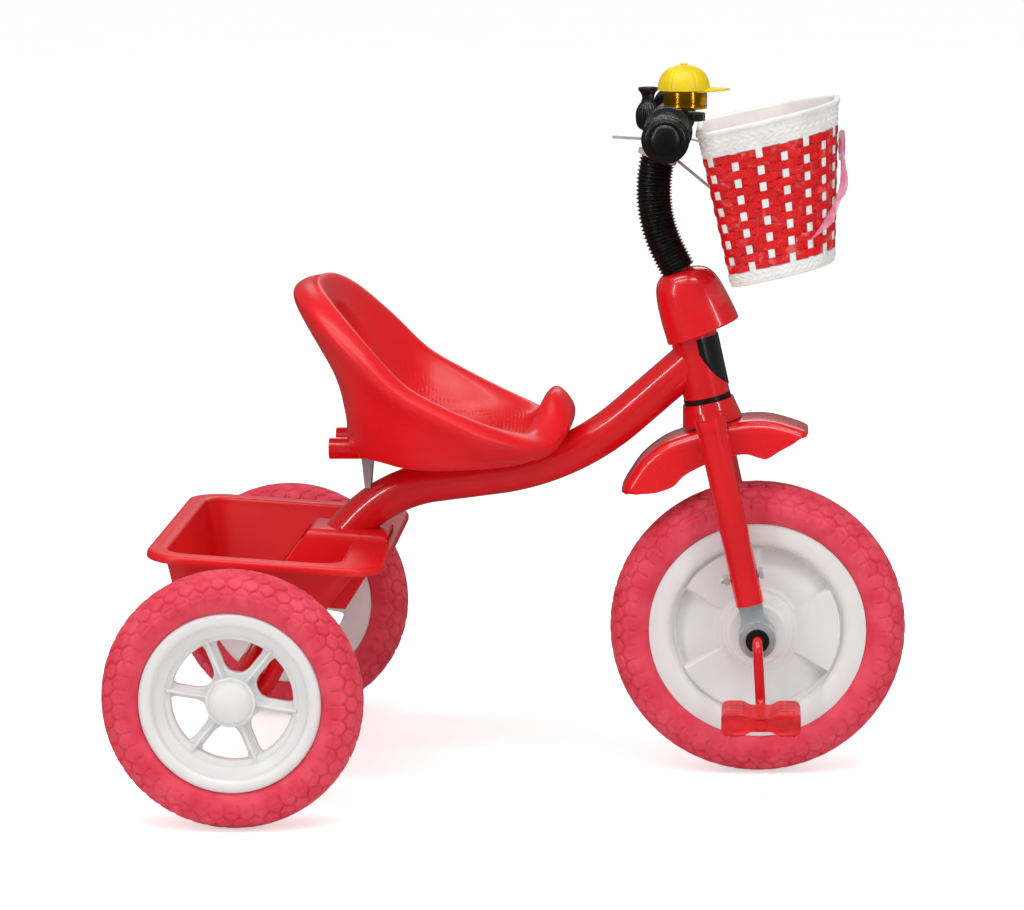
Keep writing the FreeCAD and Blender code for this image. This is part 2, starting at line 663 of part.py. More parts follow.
def steerer_tube():
    """The tube from the fork crown up through the head tube."""
    return ring(V(0, 0, CROWN_FOOT + 4), V(0, 0, 300), STEERER_R, 11.0)


# Stations along the mudguard: ahead, up, slope in degrees, and the depth of the sides.
FENDER_STATIONS = [(-88, 142.5, 57, 5), (-84.5, 147.5, 55, 15), (-78, 154.5, 49, 26), (-64.4, 166.6, 37, 34),
                   (-42.8, 176.8, 18, 32), (-20, 180.2, 4, 29), (2, 181.3, 0, 27), (23.7, 181.3, -5, 27),
                   (40, 179, -13, 31), (52.9, 174.8, -24, 31), (64, 169, -33, 22), (74.7, 162.6, -38, 9),
                   (78.5, 159.4, -41, 4)]
FENDER_HALF = 31.0
FENDER_WALL = 2.4
FENDER_SHOULDER = 9.0
FENDER_SCREW_AHEAD = 17.0
FENDER_SCREW_FOOT = 176.0
FENDER_SCREW_R = 2.5


def fender_section(t, s, slope_deg, depth):
    """A squared arch across the wheel, square to the fender's run."""
    wall = FENDER_WALL
    half = FENDER_HALF
    shoulder = FENDER_SHOULDER
    drop = min(shoulder, 0.8 * depth)
    outline = [(-half, -depth), (-half, -drop), (-half + shoulder, 0), (half - shoulder, 0), (half, -drop),
               (half, -depth), (half - wall, -depth), (half - wall, -drop), (half - shoulder, -wall),
               (-half + shoulder, -wall), (-half + wall, -drop), (-half + wall, -depth)]
    wire = polygon([V(0, y, z) for y, z in outline])
    wire.rotate(ORIGIN, LEFT, -slope_deg)
    wire.translate(V(t, 0, s))
    return wire


def fender():
    """The mudguard over the front wheel, passing between the fork legs."""
    body = Part.makeLoft([fender_section(*station) for station in FENDER_STATIONS], True, True)
    return body.cut(box(-60, 60, -60, 60, CROWN_FOOT, 260)).cut(fender_screw_shank())


def fender_screw_shank():
    """The shank of the screw that holds the fender up against the crown."""
    foot = V(FENDER_SCREW_AHEAD, 0, FENDER_SCREW_FOOT)
    return rod(foot, V(FENDER_SCREW_AHEAD, 0, CROWN_FOOT + 6), FENDER_SCREW_R)


def fender_screws():
    """One screw, driven from below into the crown."""
    profile = [(0, 0), (5, 0), (6, 1), (6, 2.6), (0, 2.6)]
    head = turned_up(profile, V(FENDER_SCREW_AHEAD, 0, FENDER_SCREW_FOOT))
    return fender_screw_shank().fuse(head)


# Stations up the steering cover: up at the back, back, front, half width, and the rise from back to front.
COVER_STATIONS = [(256, -23.0, 40.7, 28.5, 0.162), (270, -24.2, 37.6, 28.0, 0.137),
                  (290, -24.5, 34.0, 27.0, 0.07), (303, -23.2, 30.6, 25.3, 0.03),
                  (311, -19.0, 25.5, 21.5, 0.01), (316.5, -12.0, 19.0, 15.0, 0.0)]
COVER_BELOW = (250, -22.8, 41.8, 28.8, 0.175)
COVER_WALL = 1.7
COVER_POINTS = 16
COVER_EXPONENT = 0.86


def cover_section(s, t0, t1, half, rise, inset):
    """An oval across the column, a little squarer than an ellipse, as a smooth loop."""
    centre = (t0 + t1) / 2
    reach = (t1 - t0) / 2 - inset
    side = half - inset
    points = []
    for k in range(COVER_POINTS):
        angle = 2 * math.pi * k / COVER_POINTS
        along = math.copysign(abs(math.cos(angle)) ** COVER_EXPONENT, math.cos(angle))
        across = math.copysign(abs(math.sin(angle)) ** COVER_EXPONENT, math.sin(angle))
        t = centre + reach * along
        points.append(V(t, side * across, s + rise * (t - t0)))
    curve = Part.BSplineCurve()
    curve.interpolate(Points=points, PeriodicFlag=True)
    return Part.Wire([curve.toShape()])


def steering_cover():
    """A bell-shaped cover over the top of the head tube, open below."""
    outer = Part.makeLoft([cover_section(*station, 0.0) for station in COVER_STATIONS], True, False)
    inside = [COVER_BELOW] + COVER_STATIONS[:4]
    inner = Part.makeLoft([cover_section(*station, COVER_WALL) for station in inside], True, False)
    cover = outer.cut(inner)
    return largest(cover.cut(rod(V(0, 0, 290), V(0, 0, 330), STEERER_R + 0.6)))


# ---------------------------------------------------------------- stem and handlebar

BAR = steering_xz(HANDLEBAR_X, HANDLEBAR_Z)
STEM_FOOT = V(0, 0, 255)
STEM_KNEE = V(0, 0, 313)
STEM_BEND = steering_xz(331, 496.5)
STEM_BENDS = [26.0, 115.0]
STEM_R = 11.0
BELLOWS_R = 15.5


def stem():
    """A bent tube from inside the steerer up to the handlebar."""
    tube = bent_tube([STEM_FOOT, STEM_KNEE, STEM_BEND, BAR], STEM_BENDS, STEM_R, STEM_R - 1.6)
    return largest(tube.cut(rod(BAR - LEFT * 40, BAR + LEFT * 40, HANDLEBAR_R)))


def stem_bellows():
    """The rubber sleeve round the stem: a plain tube of its outer size."""
    knee_out = (STEM_BEND - STEM_KNEE).normalize()
    bar_out = (STEM_BEND - BAR).normalize()
    start = STEM_KNEE + knee_out * 8.0
    end = BAR + bar_out * 17.5
    return bent_tube([start, STEM_BEND, end], STEM_BENDS[1:], BELLOWS_R, STEM_R + 0.2)


def bellows_core():
    """The space inside the bellows."""
    return bent_rod([STEM_KNEE, STEM_BEND, BAR], STEM_BENDS[1:], STEM_R + 0.3)


def handlebar():
    """The straight bar."""
    return ring(BAR - LEFT * 168, BAR + LEFT * 168, HANDLEBAR_R, HANDLEBAR_R - 1.5)


def stem_clamp():
    """The black housing where the stem meets the bar."""
    body = rod(BAR - LEFT * 21, BAR + LEFT * 21, 16.5)
    body = body.cut(rod(BAR - LEFT * 30, BAR + LEFT * 30, HANDLEBAR_R))
    return largest(body.cut(bent_rod([STEM_FOOT, STEM_KNEE, STEM_BEND, BAR], STEM_BENDS, STEM_R)))


def grip(side):
    """A rubber grip with a flange at its inner end and a stepped, domed outer end."""
    inner = GRIP_INNER
    outer = GRIP_END
    profile = [(HANDLEBAR_R, inner), (20.5, inner), (20.5, inner + 4), (15.5, inner + 6), (14.5, inner + 40),
               (15.5, outer - 16), (18, outer - 13), (18, outer - 5), (16.6, outer - 4.6), (16.2, outer - 3.2),
               (13, outer - 1.6), (7, outer - 0.3), (0, outer), (0, 168), (HANDLEBAR_R, 168)]
    shape = turned([(r, side * y) for r, y in profile])
    shape.translate(BAR)
    return shape


# ---------------------------------------------------------------- bell and horn

BELL_Y = -50.0
BELL_AHEAD = 14.0
BELL_RISE = 6.0
BELL_R = 18.0
BELL_SEAT = 6.4
BELL_POST_R = 2.6
DOME_FOOT = 15.8
CAP_SEAT = 33.3
CAP_SHIFT = -1.2
LEVER_PIVOT = V(11.0, -8.0, 0)
LEVER_REACH = 19.0


def upright(shape):
    """Moves a shape drawn upright about the handlebar's axis, X forward, to its place."""
    moved = shape.copy()
    moved.translate(V(HANDLEBAR_X + REAR_AXLE_X, 0, HANDLEBAR_Z))
    return moved


def bell_base():
    """A clamp round the bar with a round seat and a post for the dome."""
    clamp = ring(V(0, BELL_Y - 9, 0), V(0, BELL_Y + 9, 0), 15.0, HANDLEBAR_R)
    centre = V(BELL_AHEAD, BELL_Y, 0)
    seat_disc = rod(centre + UP * BELL_RISE, centre + UP * (BELL_RISE + BELL_SEAT), 16.5)
    post = rod(centre + UP * BELL_RISE, centre + UP * 24.5, BELL_POST_R)
    base = clamp.fuse(seat_disc).fuse(post).cut(rod(V(0, BELL_Y - 30, 0), V(0, BELL_Y + 30, 0), HANDLEBAR_R))
    pocket_centre = centre + V(LEVER_PIVOT.x, LEVER_PIVOT.y, BELL_RISE)
    base = base.cut(rod(pocket_centre + UP * 1.6, pocket_centre + UP * 5.4, 7.5))
    pin = rod(pocket_centre + UP * 1.0, pocket_centre + UP * 5.9, 1.5)
    return base.fuse(pin).removeSplitter()


def bell_dome():
    """The metal dome, open below, with a rounded lower edge."""
    skin = 1.2
    inner = BELL_R - skin
    profile = [(BELL_POST_R, CAP_SEAT), (BELL_R - 1.8, CAP_SEAT), (BELL_R, CAP_SEAT - 1.8),
               (BELL_R, DOME_FOOT + 1.2), (inner + 0.4, DOME_FOOT), (inner - 0.8, DOME_FOOT),
               (inner, DOME_FOOT + 1.4),
               (inner, CAP_SEAT - 2.3), (inner - 1.0, CAP_SEAT - skin), (BELL_POST_R, CAP_SEAT - skin)]
    return turned_up(profile, V(BELL_AHEAD, BELL_Y, 0))


def bell_cap():
    """A plastic baseball cap that sits on the dome."""
    crown = [(0, 53.6), (2.6, 53.4), (3.0, 52.2), (8.6, 51.2), (15, 47.4), (19.6, 41.6), (21.6, 35.0),
             (21.8, 31.4), (18.0, 31.4), (18.0, CAP_SEAT), (0, CAP_SEAT)]
    cap = turned_up(crown, V(BELL_AHEAD + CAP_SHIFT, BELL_Y, 0))
    cap = cap.cut(rod(V(BELL_AHEAD, BELL_Y, 25), V(BELL_AHEAD, BELL_Y, CAP_SEAT), BELL_R))
    brim_plan = Part.Wire([
        Part.Arc(V(BELL_AHEAD + 12, -17, 0), V(BELL_AHEAD + 37, 0, 0), V(BELL_AHEAD + 12, 17, 0)).toShape(),
        Part.LineSegment(V(BELL_AHEAD + 12, 17, 0), V(BELL_AHEAD + 12, -17, 0)).toShape(),
    ])
    brim_plan.translate(V(0, BELL_Y, 31.6))
    brim = Part.Face(brim_plan).extrude(V(0, 0, 2.6))
    hollow = rod(V(BELL_AHEAD, BELL_Y, 25), V(BELL_AHEAD, BELL_Y, CAP_SEAT), BELL_R)
    return cap.fuse(brim.cut(hollow)).removeSplitter()


def bell_lever():
    """The thumb lever that turns on a pin at the bell's seat and strikes the dome."""
    pivot = V(BELL_AHEAD + LEVER_PIVOT.x, BELL_Y + LEVER_PIVOT.y, BELL_RISE)
    eye = rod(pivot + UP * 1.9, pivot + UP * 5.1, 4.6)
    arm = box(pivot.x - 2.6, pivot.x + 2.6, pivot.y - LEVER_REACH, pivot.y + 1, pivot.z + 1.9, pivot.z + 5.1)
    pad = rod(pivot + V(0, -LEVER_REACH, 1.9), pivot + V(0, -LEVER_REACH, 7.4), 4.6)
    lever = eye.fuse(arm).fuse(pad)
    return lever.cut(rod(pivot, pivot + UP * 8, 1.5 + RUNNING)).removeSplitter()


HORN_X = -20.2
HORN_Y = 72.0


def horn_clamp():
    """The ring that holds the horn to the bar."""
    band = ring(V(0, HORN_Y - 5, 0), V(0, HORN_Y + 5, 0), 14.0, HANDLEBAR_R)
    lug = box(-17, -11.5, HORN_Y - 5, HORN_Y + 5, -5, 5)
    return largest(band.fuse(lug).cut(horn_bulb_solid()).cut(
        rod(V(0, HORN_Y - 20, 0), V(0, HORN_Y + 20, 0), HANDLEBAR_R)))


HORN_NECK = 15.0


def horn_bulb_solid():
    """The squeezed rubber bulb: round shoulders on a short neck."""
    profile = [(0, -12.5), (5, -12), (8.6, -9), (10.4, -4), (10.6, 3), (9.2, 8.5), (6.0, 12.5),
               (5.4, HORN_NECK), (0, HORN_NECK)]
    return turned_up(profile, V(HORN_X, HORN_Y, 0))


def horn_trumpet():
    """The horn's flared mouth, on top of the bulb."""
    profile = [(0, HORN_NECK), (5.2, HORN_NECK), (5.2, 18), (6.4, 20.5), (8.3, 22.5), (8.3, 25.5),
               (7.2, 25.5), (5.4, 21.5), (0, 20.5)]
    return turned_up(profile, V(HORN_X, HORN_Y, 0))


# ---------------------------------------------------------------- basket

BASKET_FOOT = 298.0
BASKET_TOP = 431.5
BASKET_BACK = 41.5
BASKET_FRONT_FOOT = 130.5
BASKET_FRONT_TOP = 161.3
BASKET_HALF_FOOT = 62.0
BASKET_HALF_TOP = 80.0
WEAVE_FOOT = 310.0
WEAVE_TOP = 409.0
WEAVE_DEPTH = 1.4
BASKET_WALL = 2.2


def basket_outline(s, inset):
    """The basket's outline at a height: a flat back and a deep round front."""
    share = (s - BASKET_FOOT) / (BASKET_TOP - BASKET_FOOT)
    front = BASKET_FRONT_FOOT + share * (BASKET_FRONT_TOP - BASKET_FRONT_FOOT) - inset
    half = BASKET_HALF_FOOT + share * (BASKET_HALF_TOP - BASKET_HALF_FOOT) - inset
    return rounded_outline(BASKET_BACK + inset, front, half, s, 16, half - 12)


def basket_frustum(foot, top, inset):
    """The tapered solid of the basket between two heights, drawn in by an inset."""
    return Part.makeLoft([basket_outline(foot, inset), basket_outline(top, inset)], True, True)


def basket_body():
    """The white basket: a closed floor and tapered walls, with a recess round them for the weave."""
    outer = basket_frustum(BASKET_FOOT, BASKET_TOP, 0)
    hollow = basket_frustum(BASKET_FOOT + 3, BASKET_TOP + 2, BASKET_WALL + WEAVE_DEPTH)
    recess = basket_frustum(WEAVE_FOOT, WEAVE_TOP, -1).cut(weave_core())
    return largest(outer.cut(hollow).cut(recess))


def weave_core():
    """The space inside the weave."""
    return basket_frustum(WEAVE_FOOT - 1, WEAVE_TOP + 1, WEAVE_DEPTH)


def basket_weave():
    """The red ribbon weave round the basket's waist."""
    return largest(basket_frustum(WEAVE_FOOT, WEAVE_TOP, 0).cut(weave_core()))


def basket_ties():
    """Two nylon ties: one from the bar to the rim, one from the stem to the basket's back."""
    return Part.makeCompound([upper_tie(), lower_tie()])


def tie_band(centre, radius, y, width):
    """A tie's loop round a bar along Y."""
    return ring(centre + LEFT * y, centre + LEFT * (y + width), radius + 1.2, radius)


def strap(start, end, width, thickness):
    """A flat strap along a straight line in the plane of travel, its width across Y."""
    direction = (end - start).normalize()
    normal = direction.cross(LEFT).normalize()
    corners = [start + normal * (thickness / 2), end + normal * (thickness / 2),
               end - normal * (thickness / 2), start - normal * (thickness / 2)]
    corners = [c - LEFT * (width / 2) for c in corners]
    return Part.Face(polygon(corners)).extrude(LEFT * width)


TIE_Y = -70.0
TIE_THICKNESS = 2.2


def upper_tie():
    """The tie round the bar, with its tail pointing back, hooked through the basket's rim."""
    loop_ring = tie_band(BAR, HANDLEBAR_R, TIE_Y - 2.0, 4.0)
    tail_root = steering_xz(348.5, 552.8) + LEFT * TIE_Y
    tail_tip = steering_xz(309, 555.3) + LEFT * TIE_Y
    tail = strap(tail_root, tail_tip, 4.0, TIE_THICKNESS)
    hook_start = steering_xz(365, 556) + LEFT * TIE_Y
    hook_end = V(BASKET_BACK, TIE_Y, 425)
    hook = strap(hook_start, hook_end, 4.0, 1.4)
    tie = loop_ring.fuse(tail).fuse(hook)
    return largest(tie.cut(rod(BAR + LEFT * (TIE_Y - 20), BAR + LEFT * (TIE_Y + 20), HANDLEBAR_R)))


def lower_tie():
    """The tie round the stem's sleeve, reaching to the basket's back."""
    bar_out = (STEM_BEND - BAR).normalize()
    centre = BAR + bar_out * 30.0
    band = ring(centre - bar_out * 2.0, centre + bar_out * 2.0, BELLOWS_R + 1.6, BELLOWS_R - 1)
    start = steering_xz(352, 537)
    end = steering_xz(396, 500.5)
    tie = strap(start, end, 4.0, TIE_THICKNESS).fuse(band)
    basket_face = box(BASKET_BACK, 200, -90, 90, 250, 450)
    return largest(tie.cut(basket_face).cut(stem_bellows().fuse(bellows_core())))


def on_basket_front(outline, thickness):
    """A layer on the basket's round front, whose view from the front is an outline of (y, s) places."""
    heights = [s for _, s in outline]
    foot, top = min(heights) - 1, max(heights) + 1
    layer = basket_frustum(foot, top, -thickness).cut(basket_frustum(foot - 1, top + 1, 0))
    window = Part.Face(polygon([V(90, y, s) for y, s in outline])).extrude(FORWARD * 120)
    return layer.common(window)


def basket_ribbon():
    """The closed envelope of the bow and its slanting tail on the basket's front."""
    bow = on_basket_front([(-21, 377), (21, 377), (21, 402), (-21, 402)], 9.0)
    tail = on_basket_front([(-3, 392), (-16, 392), (-56, 331), (-45, 326)], 5.0)
    return largest(bow.fuse(tail).removeSplitter())


# ---------------------------------------------------------------- writing the nodes

def write_frame():
    """The pieces that stand still with the frame."""
    save("main_tube", main_tube())
    save("head_tube", from_steering(head_tube()))
    save("head_badge", from_steering(head_badge()))
    cup = headset_cup(CROWN_TOP + GAP, HEAD_FOOT, HEAD_FOOT, HEAD_FOOT + 12)
    save("headset_cup_lower", from_steering(cup))
    save("headset_cup_upper", from_steering(headset_cup(HEAD_TOP, HEAD_TOP + 4, HEAD_TOP - 12, HEAD_TOP)))
    save("rear_axle_tube", from_rear_axle(rear_axle_tube()))
    save("rear_axle", from_rear_axle(rear_axle()))
    save("axle_fasteners", from_rear_axle(axle_fasteners()))
    save("bucket", from_rear_axle(bucket()))
    save("bucket_screws", from_rear_axle(bucket_screws()))
    save("seat", from_rear_axle(seat()))
    save("seat_bracket", from_rear_axle(seat_bracket()))
    save("seat_bolts", from_rear_axle(seat_bolts()))
    for name, side in SIDES.items():
        save("rear_stay_" + name, from_rear_axle(rear_stay(side)))
        save("push_bar_socket_" + name, from_rear_axle(push_bar_socket(side)))


def write_wheels():
    """The three wheels, the crank and the pedals."""
    rear_pieces = {
        "rear_tyre_": tyre(REAR_RADIUS, REAR_RIM_RADIUS, REAR_TYRE_HALF),
        "rear_rim_": rear_rim(),
        "rear_bushing_": rear_bushing(),
        "rear_hub_cap_": hub_cap(),
    }
    for name, side in SIDES.items():
        for node, shape in rear_pieces.items():
            save(node + name, rear_wheel_place(shape, side))
        save("pedal_" + name, from_front_axle(pedal(side)))
    save("front_tyre", from_front_axle(tyre(FRONT_RADIUS, FRONT_RIM_RADIUS, FRONT_TYRE_HALF)))
    save("front_rim", from_front_axle(front_rim()))
    save("crank", from_front_axle(crank()))


def write_steering():
    """The pieces that turn with the handlebar."""
    save("fork_crown", from_steering(fork_crown()))
    save("steerer_tube", from_steering(steerer_tube()))
    save("crank_bushes", from_steering(crank_bushes()))
    save("dropout_bolts", from_steering(dropout_bolts()))
    save("fender", from_steering(fender()))
    save("fender_screws", from_steering(fender_screws()))
    save("steering_cover", from_steering(steering_cover()))
    save("stem", from_steering(stem()))
    save("stem_bellows", from_steering(stem_bellows()))
    save("stem_clamp", from_steering(stem_clamp()))
    save("handlebar", from_steering(handlebar()))
    save("bell_base", upright(bell_base()))
    save("bell_dome", upright(bell_dome()))
    save("bell_cap", upright(bell_cap()))
    save("bell_lever", upright(bell_lever()))
    save("horn_bulb", upright(horn_bulb_solid()))
    save("horn_trumpet", upright(horn_trumpet()))
    save("horn_clamp", upright(horn_clamp()))
    save("basket_body", from_steering(basket_body()))
    save("basket_weave", from_steering(basket_weave()))
    save("basket_ties", from_steering(basket_ties()))
    save("basket_ribbon", from_steering(basket_ribbon()))
    for name, side in SIDES.items():
        save("fork_leg_" + name, from_steering(fork_leg(side)))
        save("dropout_" + name, from_steering(dropout(side)))
        save("grip_" + name, from_steering(grip(side)))


os.makedirs("parts", exist_ok=True)
write_frame()
write_wheels()
write_steering()
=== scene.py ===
import json
import math

import bpy
import numpy as np
from bpy.props import FloatProperty, FloatVectorProperty, IntProperty, PointerProperty
from mathutils import Matrix, Vector


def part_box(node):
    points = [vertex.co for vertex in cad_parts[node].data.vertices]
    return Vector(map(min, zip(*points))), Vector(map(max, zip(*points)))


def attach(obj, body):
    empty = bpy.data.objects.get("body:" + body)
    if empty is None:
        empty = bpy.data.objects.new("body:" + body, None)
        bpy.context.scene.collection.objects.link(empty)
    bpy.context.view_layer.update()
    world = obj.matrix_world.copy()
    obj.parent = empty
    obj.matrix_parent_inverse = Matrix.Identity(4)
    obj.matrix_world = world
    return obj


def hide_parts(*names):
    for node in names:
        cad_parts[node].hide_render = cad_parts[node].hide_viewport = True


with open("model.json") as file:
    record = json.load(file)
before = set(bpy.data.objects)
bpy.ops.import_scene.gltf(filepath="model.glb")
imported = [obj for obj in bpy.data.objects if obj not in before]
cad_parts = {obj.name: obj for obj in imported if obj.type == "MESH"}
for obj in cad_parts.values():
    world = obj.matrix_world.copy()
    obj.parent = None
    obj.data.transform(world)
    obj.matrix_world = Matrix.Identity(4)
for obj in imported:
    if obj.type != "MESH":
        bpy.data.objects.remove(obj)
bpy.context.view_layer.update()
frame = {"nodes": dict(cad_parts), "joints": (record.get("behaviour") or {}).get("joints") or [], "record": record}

bl_info = {
    "name": "Children's tricycle",
    "version": (1, 0, 0),
    "blender": (4, 5, 0),
    "location": "3D View > Sidebar > Tricycle",
    "description": "A small tricycle with foam tyres, a scoop seat, a bucket and a woven basket",
    "category": "Add Mesh",
}

MM = 0.001
TURN = 2 * math.pi

# The steering axis leans back through the front axle. Places on it are (ahead, left, up) in millimetres.
STEERING = next(joint for joint in frame["joints"] if joint["name"] == "steering_turn")
STEERING_FOOT = np.array(STEERING["pos_m"])
STEERING_UP = np.array(STEERING["axis"]) / np.linalg.norm(STEERING["axis"])
STEERING_AHEAD = np.array([STEERING_UP[2], 0.0, -STEERING_UP[0]])
AHEAD, LEFT, UP = np.eye(3)
SIDES = {"left": 1.0, "right": -1.0}


def node_middle(name):
    """The middle of a CAD node's box."""
    low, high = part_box(name)
    return (np.array(low) + np.array(high)) / 2


def node_size(name):
    """The size of a CAD node's box."""
    low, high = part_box(name)
    return np.array(high) - np.array(low)


def node_foot(name):
    """The middle of the bottom of a CAD node's box."""
    return np.array([*node_middle(name)[:2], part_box(name)[0][2]])


REAR_AXLE = node_middle("rear_axle")


def on_steering(ahead, left, up):
    """A place in the steering's frame, in millimetres, as a row-frame point: foot + ahead, left and up along
    their axes."""
    ahead, left, up = np.broadcast_arrays(ahead, left, up)
    return (STEERING_FOOT + MM * (ahead[..., None] * STEERING_AHEAD + left[..., None] * LEFT
                                  + up[..., None] * STEERING_UP))


def from_rear_axle(x, y, z):
    """A place in millimetres from the floor point under the rear axle, as a row-frame point."""
    x, y, z = np.broadcast_arrays(x, y, z)
    return MM * np.stack([x, y, z], -1) + np.array([REAR_AXLE[0], 0.0, 0.0])


# ---------------------------------------------------------------- colours

def linear(hex_colour):
    """An sRGB hex colour as linear red, green and blue."""
    srgb = np.array([int(hex_colour[k:k + 2], 16) for k in (1, 3, 5)]) / 255
    return tuple(float(c) for c in np.where(srgb <= 0.04045, srgb / 12.92, ((srgb + 0.055) / 1.055) ** 2.4))


def colour_setting(name, description, hex_colour):
    """A colour that a user may change."""
    return FloatVectorProperty(name=name, description=description, default=linear(hex_colour), min=0.0,
                               max=1.0, size=3, subtype="COLOR")


def length_setting(name, description, metres):
    """A length that a user may change."""
    return FloatProperty(name=name, description=description, default=metres, min=0.0, unit="LENGTH",
                         subtype="DISTANCE", precision=4)


class TricycleColours(bpy.types.PropertyGroup):
    """The colours of the tricycle's finishes."""
    enamel: colour_setting("Enamel", "Stoved enamel on the frame and fork", "#E4121C")
    plastic: colour_setting("Red plastic", "Moulded seat, bucket and mudguard", "#EC141E")
    foam: colour_setting("Tyre foam", "Foam of the three tyres", "#EB4A60")
    wheel: colour_setting("Wheel plastic", "Moulded wheels", "#EBEBEB")
    basket: colour_setting("Basket plastic", "Basket body and slats", "#FBFAF8")
    weave: colour_setting("Weave", "Plastic ribbon woven round the basket", "#EE121A")
    bow: colour_setting("Bow", "Sheer ribbon on the basket", "#F27FA8")
    cap: colour_setting("Cap", "Moulded cap on the bell", "#F2D60B")
    brass: colour_setting("Dome", "Gold-coloured plating of the bell", "#D9A21B")


class TricycleSizes(bpy.types.PropertyGroup):
    """The sizes of the details that the frame doesn't fix."""
    rear_lugs: IntProperty(name="Rear lugs", description="Lugs in one row round a rear tyre", default=46,
                           min=8)
    front_lugs: IntProperty(name="Front lugs", description="Lugs in one row round the front tyre", default=54,
                            min=8)
    groove_width: length_setting("Groove width", "Width of the grooves between lugs", 0.0027)
    groove_depth: length_setting("Groove depth", "Depth of the grooves between lugs", 0.0019)
    bellows_rings: IntProperty(name="Sleeve rings", description="Rings of the rubber sleeve", default=38,
                               min=4)
    basket_columns: IntProperty(name="Basket slats",
                                description="Upright slats in the basket's weave, an even number", default=22,
                                min=8)
    basket_rows: IntProperty(name="Basket ribbons", description="Ribbons woven one above another", default=14,
                             min=2)
    slat_width: length_setting("Slat width", "Width of an upright slat", 0.0054)
    pan_dots: length_setting("Seat dots", "Spacing of the raised dots on the seat", 0.0034)


class TricycleSettings(bpy.types.PropertyGroup):
    """Everything that a user may change."""
    colours: PointerProperty(type=TricycleColours)
    sizes: PointerProperty(type=TricycleSizes)


# ---------------------------------------------------------------- materials

def add_node(material, kind, inputs=None, **settings):
    """Adds a node, sets its properties, and fills its inputs: a socket is linked and anything else is a
    value."""
    node = material.node_tree.nodes.new(kind)
    for name, value in settings.items():
        setattr(node, name, value)
    for name, value in (inputs or {}).items():
        if isinstance(value, bpy.types.NodeSocket):
            material.node_tree.links.new(value, node.inputs[name])
        else:
            node.inputs[name].default_value = value
    return node


def blended(material, share, first, second):
    """A mix of two colours by a share from 0 to 1."""
    mix = add_node(material, "ShaderNodeMix", data_type="RGBA")
    for index, value in ((0, share), (6, first), (7, second)):
        if isinstance(value, bpy.types.NodeSocket):
            material.node_tree.links.new(value, mix.inputs[index])
        else:
            mix.inputs[index].default_value = value
    return mix.outputs[2]


def opaque(colour):
    """A hex colour, or red, green and blue, as a four-part linear colour."""
    return (*(linear(colour) if isinstance(colour, str) else tuple(colour)[:3]), 1.0)


def finish(name, colour, other, patch, roughness, grain, depth, relief=None, tint=None, **shader):
    """A surface whose colour wanders softly between two near ones over patches of a size, whose roughness
    wanders between two values, and which has a fine relief of a grain and a depth. Sizes are in millimetres.
    relief adds coarser relief of its own: a function of the material that gives a height and its depth."""
    material = bpy.data.materials.new(name)
    material.use_nodes = True
    surface_shader = material.node_tree.nodes["Principled BSDF"]
    link = material.node_tree.links.new
    place = add_node(material, "ShaderNodeTexCoord").outputs["Object"]
    cloud = add_node(material, "ShaderNodeTexNoise", {"Vector": place, "Scale": 1 / (patch * MM),
                                                      "Detail": 3.0})
    share = add_node(material, "ShaderNodeMapRange", {"Value": cloud.outputs[0], "From Min": 0.36,
                                                      "From Max": 0.64})
    base = blended(material, share.outputs[0], opaque(colour), opaque(other))
    if tint is not None:
        base = tint(material, place, base)
    link(base, surface_shader.inputs["Base Color"])
    fine = add_node(material, "ShaderNodeTexNoise", {"Vector": place, "Scale": 1 / (grain * MM),
                                                     "Detail": 2.0})
    rough = add_node(material, "ShaderNodeMapRange", {"Value": fine.outputs[0], "From Min": 0.3,
                                                      "From Max": 0.7, "To Min": roughness[0],
                                                      "To Max": roughness[1]})
    link(rough.outputs[0], surface_shader.inputs["Roughness"])
    bump = add_node(material, "ShaderNodeBump", {"Height": fine.outputs[0], "Distance": depth * MM,
                                                 "Strength": 1.0})
    if relief is not None:
        height, relief_depth = relief(material, place)
        coarse = add_node(material, "ShaderNodeBump", {"Height": height, "Distance": relief_depth * MM,
                                                       "Strength": 1.0})
        link(coarse.outputs[0], bump.inputs["Normal"])
    link(bump.outputs[0], surface_shader.inputs["Normal"])
    for socket, value in shader.items():
        surface_shader.inputs[socket.replace("_", " ")].default_value = value
    return material


def dotted_pan(spacing):
    """Raised dots on a square lattice, kept to where the piece's own mask says."""
    def relief(material, place):
        flat = add_node(material, "ShaderNodeMapping", {"Vector": place, "Scale": (1.0, 1.0, 0.35)})
        dots = add_node(material, "ShaderNodeTexVoronoi", {"Vector": flat.outputs[0], "Scale": 1 / spacing,
                                                           "Randomness": 0.0})
        peak = add_node(material, "ShaderNodeMapRange", {"Value": dots.outputs["Distance"], "From Min": 0.2,
                                                         "From Max": 0.5, "To Min": 1.0, "To Max": 0.0})
        mask = add_node(material, "ShaderNodeAttribute", attribute_name="mask")
        height = add_node(material, "ShaderNodeMath", {0: peak.outputs[0], 1: mask.outputs["Fac"]},
                          operation="MULTIPLY")
        return height.outputs[0], 0.5
    return relief


def masked_tint(colour, most):
    """Blends a colour in where the piece's own mask says."""
    def tint(material, place, base):
        mask = add_node(material, "ShaderNodeAttribute", attribute_name="mask")
        share = add_node(material, "ShaderNodeMath", {0: mask.outputs["Fac"], 1: most}, operation="MULTIPLY")
        return blended(material, share.outputs[0], base, opaque(colour))
    return tint


def ribbon_creases(material, place):
    """Sharp random creases, as in thin polypropylene ribbon."""
    ridges = add_node(material, "ShaderNodeTexNoise", {"Vector": place, "Scale": 95.0, "Detail": 2.0,
                                                       "Distortion": 0.8})
    folds = add_node(material, "ShaderNodeMath", {0: ridges.outputs[0], 1: 0.18}, operation="PINGPONG")
    return folds.outputs[0], 2.6


